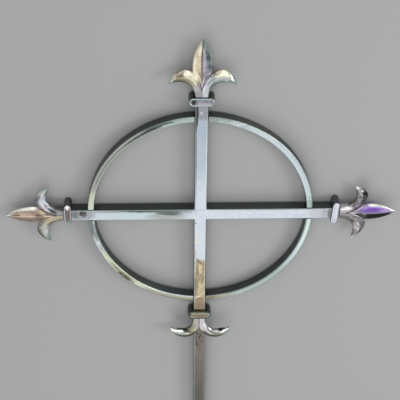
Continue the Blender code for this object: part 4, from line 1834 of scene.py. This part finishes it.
@dataclass
class LeftEnd(BarEnd):
    """The fleur-de-lis at the left: bronze spear, silver-lilac upper leaf and tan-grey lower one."""

    minus: LeafOutline = LeafOutline(5.0, (17.1, 26.9), (19.5, 15.1), (31.9, 14.0))
    plus: LeafOutline = LeafOutline(5.0, (15.5, 26.4), (18.0, 15.8), (30.6, 13.2))

    def spear_finish(self) -> SteelFinish:
        """Tan, with cream edges and dark dashes on the ridge.

        Returns:
            The finish.
        """
        marks = (
            band(Tint.CREAM, (0.30, 1.1), (-0.1, 0.06), 0.8, soft=0.03, ragged=0.05),
            band(Tint.UMBER, (-0.1, 0.10), (-0.1, 0.30), 0.9),
            band(Tint.UMBER, (0.20, 0.38), (0.16, 0.64), 0.55),
            band(Tint.ROSE_TAN, (0.40, 0.72), (0.56, 0.88), 0.7),
            band(Tint.SAND, (0.10, 0.19), (0.26, 0.42), 0.9, fade=0.03),
            band(Tint.SLATE, (-0.1, 0.19), (0.66, 0.90), 0.9),
            band(Tint.SAND, (0.21, 0.30), (0.68, 0.90), 0.8, fade=0.03),
            band(Tint.WHITE, (0.36, 0.95), (0.85, 1.2)),
            band(Tint.CREAM, (0.78, 0.95), (0.80, 1.2), 0.7),
            Streaks(Tint.UMBER, 0.4, turn=0, stretch=0.2, grain=0.45, coverage=0.42,
                    inside=band(Tint.UMBER, (0.2, 0.9))),
            band(Tint.DARK_BROWN, (0.25, 0.38), (0.50, 0.57), 0.8, fade=0.03, soft=0.02, ragged=0.05),
            band(Tint.DARK_BROWN, (0.70, 0.88), (0.49, 0.58), fade=0.03, soft=0.02, ragged=0.05),
            band(Tint.CREAM, (-0.1, 0.11), (0.45, 0.56), 0.9, fade=0.03, soft=0.02, ragged=0.03),
            band(Tint.SAND, (0.40, 0.74), (0.45, 0.50), 0.5, soft=0.012, ragged=0.02),
            band(Tint.GREEN_SILVER, (0.91, 1.2), strength=0.8, fade=0.03),
        )
        return SteelFinish("spear_steel_left", Tint.TAN, Tint.ROSE_TAN, marks, rough=0.27)

    def leaf_finish(self, side: int) -> SteelFinish:
        """Silver leaves, darkened with painted shade at their stems by the collar; the lower one has a dark outer
        edge.

        Args:
            side: 1 for the upper leaf and -1 for the lower one.

        Returns:
            The finish.
        """
        if side > 0:
            marks = (
                # Painted shade at the stem by the collar.
                band(Tint.TAUPE, (-0.1, 0.17), strength=0.7),
                band(Tint.PALE_LILAC, (0.28, 0.41), strength=0.8),
                band(Tint.BLUE_WHITE, (0.36, 0.66), (0.70, 1.2), 0.9),
                band(Tint.STONE, (0.40, 0.61), (-0.1, 0.28), 0.8, fade=0.04),
                spot(Tint.CHARCOAL, self.seat.to_cross(4.6, 9.4), (3.8, 1.8), 0.95, turn=150, ragged=1.0),
                spot(Tint.SLATE, self.seat.to_cross(6.6, 12.0), (3.4, 1.4), 0.8, turn=140, ragged=1.0),
                band(Tint.GREEN_WHITE, (0.69, 0.86), (-0.1, 0.50), 0.95),
                band(Tint.GREEN_SILVER, (0.66, 1.2), (0.50, 1.2), 0.8),
                band(Tint.GREEN_SILVER, (0.84, 1.2), strength=0.7),
            )
            return SteelFinish("leaf_steel_left_upper", Tint.ASH, Tint.SILVER, marks, rough=0.25)
        marks = (
            band(Tint.SAND, (0.08, 0.38), (-0.1, 0.18), 0.7),
            band(Tint.KHAKI, (-0.1, 0.17), (0.24, 1.2), 0.8),
            # Painted shade at the stem by the collar.
            band(Tint.TAUPE, (-0.1, 0.07), (0.50, 1.2), 0.7),
            band(Tint.MIST, (0.28, 0.80), strength=0.8, fade=0.08),
            band(Tint.SILVER, (0.46, 1.2), (0.66, 1.2), 0.95),
            band(Tint.WARM_GREY, (0.48, 0.72), (-0.1, 0.26), 0.9),
            band(Tint.STONE, (0.44, 0.72), (0.26, 0.52), 0.8),
            band(Tint.OLIVE_GREY, (0.70, 1.2), (-0.1, 0.40), 0.9),
            band(Tint.GREEN_GREY, (0.68, 1.2), (0.46, 0.72), 0.9),
            spot(Tint.SLATE, self.seat.to_cross(-18.0, 23.5), (1.1, 1.1), 0.7),
        )
        return SteelFinish("leaf_steel_left_lower", Tint.STRAW, Tint.FAWN, marks, rough=0.25)

    def collar_finish(self) -> SteelFinish:
        """A mauve-brown face in a rim paled by painted highlight, with a white painted highlight at its upper end.

        Returns:
            The finish.
        """
        marks = (
            spot(Tint.OLIVE_GREY, self.seat.to_cross(-9, -4.5), (4, 5), 0.8),
            # Painted highlight on the rim, and a white painted highlight at the upper end.
            RimHighlight(Tint.PALE_LILAC, 0.8, low=0.15, high=0.85),
            spot(Tint.WHITE, self.seat.to_cross(12, -4.5), (1.6, 4), 0.8),
            spot(Tint.GREEN_GREY, self.seat.to_cross(-12, -4.5), (1.8, 5), 0.8),
            COLLAR_SHADED_SIDES)
        return SteelFinish("collar_steel_left", Tint.MAUVE, Tint.TAUPE, marks, rough=0.3, clouds=0.35)

    def dress(self, effects: Effects) -> None:
        """Build and finish the collar, the spear and the leaves.

        Args:
            effects: The shared node groups.
        """
        Collar("left", self.seat, self.collar_finish(), length=7.0, width=24.8, shift=0.7, rim=1.0,
               lip=0.4).dress(effects)
        Spear("left", self.seat, (self.minus, self.plus), self.spear_finish()).dress(effects)
        self.dress_leaves(effects, LeafKind.END, "left_upper", "left_lower")


@dataclass
class RightEnd(BarEnd):
    """The fleur-de-lis at the right: violet spear, streaky leaves."""

    minus: LeafOutline = LeafOutline(5.0, (18.6, 27.0), (18.6, 15.8), (29.9, 14.2))
    plus: LeafOutline = LeafOutline(5.0, (15.0, 27.1), (21.9, 15.3), (32.4, 14.0), bulge=0.68)

    def spear_finish(self) -> SteelFinish:
        """Violet to pale pink over the ridge, nearly black under it, where painted dark reflection darkens the lower
        facet.

        Returns:
            The finish.
        """
        marks = (
            band(Tint.ASH, (-0.1, 0.33), strength=0.95, fade=0.06),
            band(Tint.LILAC_SHADE, (0.20, 0.40), (0.26, 0.55), 0.8),
            band(Tint.TAUPE, (0.30, 0.40), (-0.1, 0.15), 0.8),
            spot(Tint.ORCHID, self.seat.to_cross(-3.0, 34.0), (13.0, 3.6), turn=-3, soft=0.5),
            spot(Tint.VIOLET, self.seat.to_cross(-2.6, 30.5), (9.0, 2.7), turn=7, soft=0.5, ragged=0.7),
            band(Tint.WHITE, (0.44, 0.85), (-0.1, 0.13)),
            band(Tint.DEEP_VIOLET, (0.30, 0.66), (0.41, 0.50), 0.9, soft=0.02),
            # Painted dark reflection on the lower facet.
            band(Tint.TAUPE, (0.10, 0.46), (0.56, 1.2), 0.9),
            band(Tint.BLACK, (0.36, 0.92), (0.54, 1.2), fade=0.05, soft=0.03),
            band(Tint.SLATE, (0.16, 0.30), (0.70, 0.90), 0.8),
            band(Tint.DEEP_VIOLET, (0.62, 0.90), (0.50, 0.60), 0.7, soft=0.03),
            band(Tint.WHITE, (-0.1, 0.12), (0.42, 0.56), 0.8, soft=0.02),
            band(Tint.LILAC_SHADE, (0.12, 0.60), (0.50, 0.55), 0.8, soft=0.012, ragged=0.02),
            band(Tint.GREEN_SILVER, (0.91, 1.2), strength=0.9, fade=0.03),
        )
        return SteelFinish("spear_steel_right", Tint.PINK, Tint.PALE_LILAC, marks, rough=0.24)

    def leaf_finish(self, side: int) -> SteelFinish:
        """The upper leaf is streaked, with a black spot; the lower one is grey with a dark edge.

        Args:
            side: 1 for the lower leaf and -1 for the upper one.

        Returns:
            The finish.
        """
        if side < 0:
            marks = (
                band(Tint.PEARL, (-0.1, 0.24), strength=0.9),
                band(Tint.ASH, (0.20, 0.50), (0.44, 0.76), 0.8),
                band(Tint.TAUPE, (-0.1, 0.08), (0.30, 0.70), 0.6),
                # Painted highlight on the stem by the collar.
                band(Tint.WHITE, (0.0, 0.18), (0.55, 1.1), 0.95),
                band(Tint.PINK, (0.18, 0.29), (-0.1, 0.50), 0.9),
                band(Tint.TAUPE, (0.22, 0.70), (0.74, 1.2), 0.7),
                band(Tint.LILAC_SHADE, (0.31, 0.40), (-0.1, 0.26), 0.9),
                Streaks(Tint.CHARCOAL, 0.8, turn=52, stretch=0.15, grain=0.75, coverage=0.5, soft=0.04,
                        inside=band(Tint.TAUPE, (0.16, 0.55))),
                band(Tint.WARM_GREY, (0.40, 0.78), (-0.1, 0.46), 0.8),
                band(Tint.BLACK, (0.52, 0.73), (-0.1, 0.26), fade=0.04, ragged=0.3),
                band(Tint.BLACK, (0.58, 0.68), (-0.1, 0.48), fade=0.03, ragged=0.3),
                band(Tint.WHITE, (0.85, 1.2), fade=0.03),
            )
            return SteelFinish("leaf_steel_right_upper", Tint.ASH, Tint.STONE, marks, rough=0.24)
        marks = (
            band(Tint.TAUPE, (-0.1, 0.18), (0.40, 1.2), 0.9),
            band(Tint.LILAC_SHADE, (0.19, 0.27), (-0.1, 0.24), 0.9),
            band(Tint.WHITE, (0.26, 0.40), (0.26, 0.50), 0.8),
            band(Tint.PALE_LILAC, (0.24, 0.60), (0.20, 0.56), 0.7),
            band(Tint.GREEN_GREY, (0.40, 0.60), (-0.1, 0.30), 0.7),
            band(Tint.SILVER, (0.48, 0.60), (0.28, 0.48), 0.8),
            band(Tint.WARM_GREY, (0.18, 0.30), (0.50, 1.2), 0.8),
            band(Tint.WARM_GREY, (0.48, 0.72), (0.76, 1.2), 0.8),
            Streaks(Tint.TAUPE, 0.5, turn=-60, stretch=0.2, grain=0.5, coverage=0.5,
                    inside=band(Tint.TAUPE, (0.2, 0.8))),
            band(Tint.WARM_GREY, (0.56, 0.86), (0.06, 0.46), 0.8),
            band(Tint.GREEN_WHITE, (0.50, 1.2), (-0.1, 0.08), 0.9, soft=0.03, ragged=0.03),
            band(Tint.GREEN_SILVER, (0.88, 1.2), strength=0.7),
        )
        return SteelFinish("leaf_steel_right_lower", Tint.ASH, Tint.STONE, marks, rough=0.26)

    def collar_finish(self) -> SteelFinish:
        """Pale lilac silver, duller at its lower end.

        Returns:
            The finish.
        """
        marks = (
            spot(Tint.SILVER, self.seat.to_cross(-8, -4.5), (6, 5), 0.8),
            spot(Tint.COOL_ASH, self.seat.to_cross(10.5, -4.5), (3.0, 5), 0.7),
            # Painted highlight on the rim and painted shade on the sides.
            RimHighlight(Tint.PALE_LILAC, 0.6), COLLAR_SHADED_SIDES)
        return SteelFinish("collar_steel_right", Tint.LILAC_SILVER, Tint.PALE_LILAC, marks, rough=0.26, clouds=0.35)

    def dress(self, effects: Effects) -> None:
        """Build and finish the collar, the spear and the leaves.

        Args:
            effects: The shared node groups.
        """
        Collar("right", self.seat, self.collar_finish(), skew=-4.0, sunk=0.1, length=6.9, width=24.6,
               shift=-0.9).dress(effects)
        Spear("right", self.seat, (self.minus, self.plus), self.spear_finish()).dress(effects)
        self.dress_leaves(effects, LeafKind.END, "right_lower", "right_upper")


@dataclass
class FootLeaves(BarEnd):
    """The collar under the crossing and the pair of curled leaves on the front of the shaft."""

    minus: LeafOutline = LeafOutline(11.5, (16.7, 26.3), (19.4, 15.6), (32.2, 13.8), blunt=2.0)
    plus: LeafOutline = LeafOutline(11.5, (15.4, 25.9), (19.2, 14.6), (30.5, 13.4), blunt=2.2)

    def leaf_finish(self, side: int) -> SteelFinish:
        """Dull lower halves, pale upper halves and horns, with black spots, and painted shade along the edges of the
        horns.

        Args:
            side: 1 for the left leaf and -1 for the right one.

        Returns:
            The finish.
        """
        marks = (
            band(Tint.STONE, (-0.1, 0.16), strength=0.95, fade=0.04),
            band(Tint.STRAW, (0.14, 0.34), strength=0.9, fade=0.04),
            band(Tint.DRAB, (0.10, 0.46), (0.56, 1.2), 0.9),
            band(Tint.OLIVE, (0.22, 0.50), (-0.1, 0.50)),
            # Painted shade: dark green over the lower part of the horn, and a thin dark line along its other edge.
            band(Tint.DEEP_SHADE_GREEN, (0.42, 0.80), (-0.1, 0.26), 0.9),
            band(Tint.SHADE_GREEN, (0.42, 0.80), (0.24, 0.52)),
            band(Tint.MIST, (0.42, 0.82), (0.50, 0.74), 0.9),
            band(Tint.OLIVE_GREY, (0.42, 0.82), (0.44, 0.56), 0.8),
            spot(Tint.BLACK, (-14.6, -147.6), (3.0, 1.5), turn=10, soft=0.2, ragged=1.2, grain=0.8),
            spot(Tint.BLACK, (-10.4, -149.0), (1.7, 0.9), soft=0.2, ragged=1.0, grain=0.8),
            spot(Tint.TAUPE, (-12.0, -143.8), (4.2, 0.8), 0.9, turn=8, ragged=0.8),
            band(Tint.DEEP_SHADE_GREEN, (0.40, 0.66), (0.93, 1.2), 0.8, soft=0.03, ragged=0.08),
            band(Tint.GREEN_WHITE, (0.84, 1.2), strength=0.8),
        ) if side > 0 else (
            band(Tint.ASH, (-0.1, 0.60), strength=0.9),
            band(Tint.BLUE_WHITE, (0.08, 0.20), (0.72, 1.1), 0.8),
            band(Tint.FAWN, (0.10, 0.20), (-0.1, 0.22), 0.8),
            band(Tint.WARM_GREY, (0.18, 0.50), (-0.1, 0.48)),
            # Painted shade: dark green over the lower part of the horn, and a thin dark line along its other edge.
            band(Tint.DEEP_SHADE_GREEN, (0.42, 0.80), (-0.1, 0.28), 0.9),
            band(Tint.SHADE_GREEN, (0.42, 0.74), (0.26, 0.56)),
            band(Tint.DEEP_SHADE_GREEN, (0.54, 0.78), (0.92, 1.2), 0.8, soft=0.03, ragged=0.08),
            band(Tint.OLIVE, (0.40, 0.70), (0.50, 0.72), 0.8),
            spot(Tint.BLACK, (22.4, -148.0), (2.2, 1.8), soft=0.2, ragged=1.2, grain=0.8),
            spot(Tint.TAUPE, (24.0, -144.4), (4.6, 0.8), 0.9, turn=-6, ragged=0.8),
            band(Tint.GREEN_GREY, (0.72, 0.88), (-0.1, 0.72), 0.8),
            band(Tint.GREEN_SILVER, (0.88, 1.2), strength=0.9),
        )
        return SteelFinish("leaf_steel_foot" + ("_left" if side > 0 else "_right"), Tint.WHITE,
                           Tint.GREEN_WHITE, marks, rough=0.18)

    def collar_finish(self) -> SteelFinish:
        """Khaki, browner below and greener at both ends, with painted shade along its lower rim.

        Returns:
            The finish.
        """
        marks = (
            spot(Tint.UMBER, self.seat.to_cross(0, -4.6), (7.0, 3.0), 0.75, soft=0.6, ragged=1.1),
            spot(Tint.WARM_GREY, self.seat.to_cross(0, -1.2), (11, 2.2), 0.9),
            spot(Tint.GREEN_GREY, self.seat.to_cross(-11, -5.5), (2.6, 4.0), 0.8),
            spot(Tint.OLIVE, self.seat.to_cross(9.5, -4.5), (3.0, 4.0), 0.7),
            spot(Tint.PALE_KHAKI, self.seat.to_cross(0, -8.8), (11, 1.2), 0.7),
            # Painted shade along the lower rim.
            spot(Tint.DARK_BROWN, self.seat.to_cross(0, -0.5), (11, 1.0), 0.8),
            COLLAR_SHADED_SIDES)
        return SteelFinish("collar_steel_bottom", Tint.KHAKI, Tint.OLIVE, marks, rough=0.3, clouds=0.35)

    def dress(self, effects: Effects) -> None:
        """Build and finish the collar and both leaves.

        Args:
            effects: The shared node groups.
        """
        Collar("bottom", self.seat, self.collar_finish(), front=4.9, length=9.4, rim=4.0, lip=0.4,
               sunk=0.0, stem_room=3.2).dress(effects)
        self.dress_leaves(effects, LeafKind.FOOT, "bottom_left", "bottom_right")


@dataclass
class Studio:
    """A pale floor, soft lights and the camera.

    Attributes:
        layout: The layout of the cross.
        eye: Where the camera stands, in millimetres from the crossing.
        aim: Where it looks.
        roll: How far it is rolled, in degrees.
        lens: Its focal length.
        sensor: The width of its sensor.
        floor_size: The side of the floor, in metres.
        floor_shade: How pale the floor is.
    """

    layout: Layout
    eye: tuple[float, float, float] = (-32.44, 593.60, 832.19)
    aim: tuple[float, float, float] = (-0.70, 17.40, 0.0)
    roll: float = 0.71
    lens: float = 94.0
    sensor: float = 36.0
    floor_size: float = 6.0
    floor_shade: float = 0.42

    def _place(self, spot: Sequence[float]) -> Vector:
        """A place given in millimetres from the crossing, in the row frame."""
        return self.layout.crossing + Vector(spot) * MM

    def camera(self) -> None:
        """Stand the camera where the photograph was taken."""
        data = bpy.data.cameras.new("camera")
        data.lens, data.sensor_width, data.clip_start = self.lens, self.sensor, 0.01
        made = scene_object("camera", data)
        eye = self._place(self.eye)
        forward = (self._place(self.aim) - eye).normalized()
        right = forward.cross(Vector((0, 1, 0))).normalized()
        up = right.cross(forward)
        roll = math.radians(self.roll)
        across = math.cos(roll) * right + math.sin(roll) * up
        upward = math.cos(roll) * up - math.sin(roll) * right
        turned = Matrix((across, upward, -forward)).transposed().to_4x4()
        made.matrix_world = Matrix.Translation(eye) @ turned
        bpy.context.scene.camera = made

    def light(self, name: str, spot: Sequence[float], size: Pair, glow: float) -> None:
        """Hang a soft light that faces the crossing.

        Args:
            name: Its name.
            spot: Its place, in millimetres from the crossing.
            size: Its two sides, in metres.
            glow: How bright its face is.
        """
        data = bpy.data.lights.new(name, "AREA")
        data.shape, data.size, data.size_y = "RECTANGLE", *size
        data.energy = glow * math.pi * size[0] * size[1]
        made = scene_object(name, data)
        made.location = self._place(spot)
        made.rotation_euler = (self._place((0, 0, 0)) - made.location).to_track_quat("-Z", "Y").to_euler()

    def floor(self) -> None:
        """Lay the plain floor."""
        half = self.floor_size / 2
        mesh = bpy.data.meshes.new("floor")
        mesh.from_pydata([(-half, -half, 0), (half, -half, 0), (half, half, 0), (-half, half, 0)], [], [(0, 1, 2, 3)])
        made = scene_object("floor", mesh)
        material = bpy.data.materials.new("pale_floor")
        material.use_nodes = True
        shader = material.node_tree.nodes["Principled BSDF"]
        shader.inputs["Base Color"].default_value = (*[self.floor_shade] * 3, 1.0)
        shader.inputs["Roughness"].default_value = 0.9
        shader.inputs["Specular IOR Level"].default_value = 0.1
        mesh.materials.append(material)

    def dress(self) -> None:
        """Set up the floor, the lights, the air round them and the camera."""
        self.floor()
        self.light("front_light", (-250, -1000, 1400), (2.0, 1.5), 1.0)
        self.light("top_light", (-100, 900, 1700), (1.8, 1.8), 0.9)
        self.light("right_light", (1100, 150, 900), (0.5, 0.5), 6.0)
        world = bpy.data.worlds.new("air")
        world.use_nodes = True
        world.node_tree.nodes["Background"].inputs["Color"].default_value = (0.45, 0.455, 0.46, 1.0)
        bpy.context.scene.world = world
        bpy.context.scene.view_settings.view_transform = "Standard"
        self.camera()


def main() -> None:
    """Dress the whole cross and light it."""
    logging.basicConfig(level=logging.INFO, format="%(name)s %(message)s")
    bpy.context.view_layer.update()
    noise.seed_set(NOISE_SEED)
    layout = Layout.read()
    effects = Effects(layout.crossing)
    SquareBars(layout).dress(effects)
    Ring(layout).dress(effects)
    for end, reach, turn in ((TopEnd, layout.top, 0.0), (LeftEnd, layout.left, math.pi / 2),
                             (RightEnd, layout.right, -math.pi / 2), (FootLeaves, layout.bottom, math.pi)):
        end(Seat(layout, reach, turn)).dress(effects)
    Studio(layout).dress()


if __name__ == "__main__":
    main()
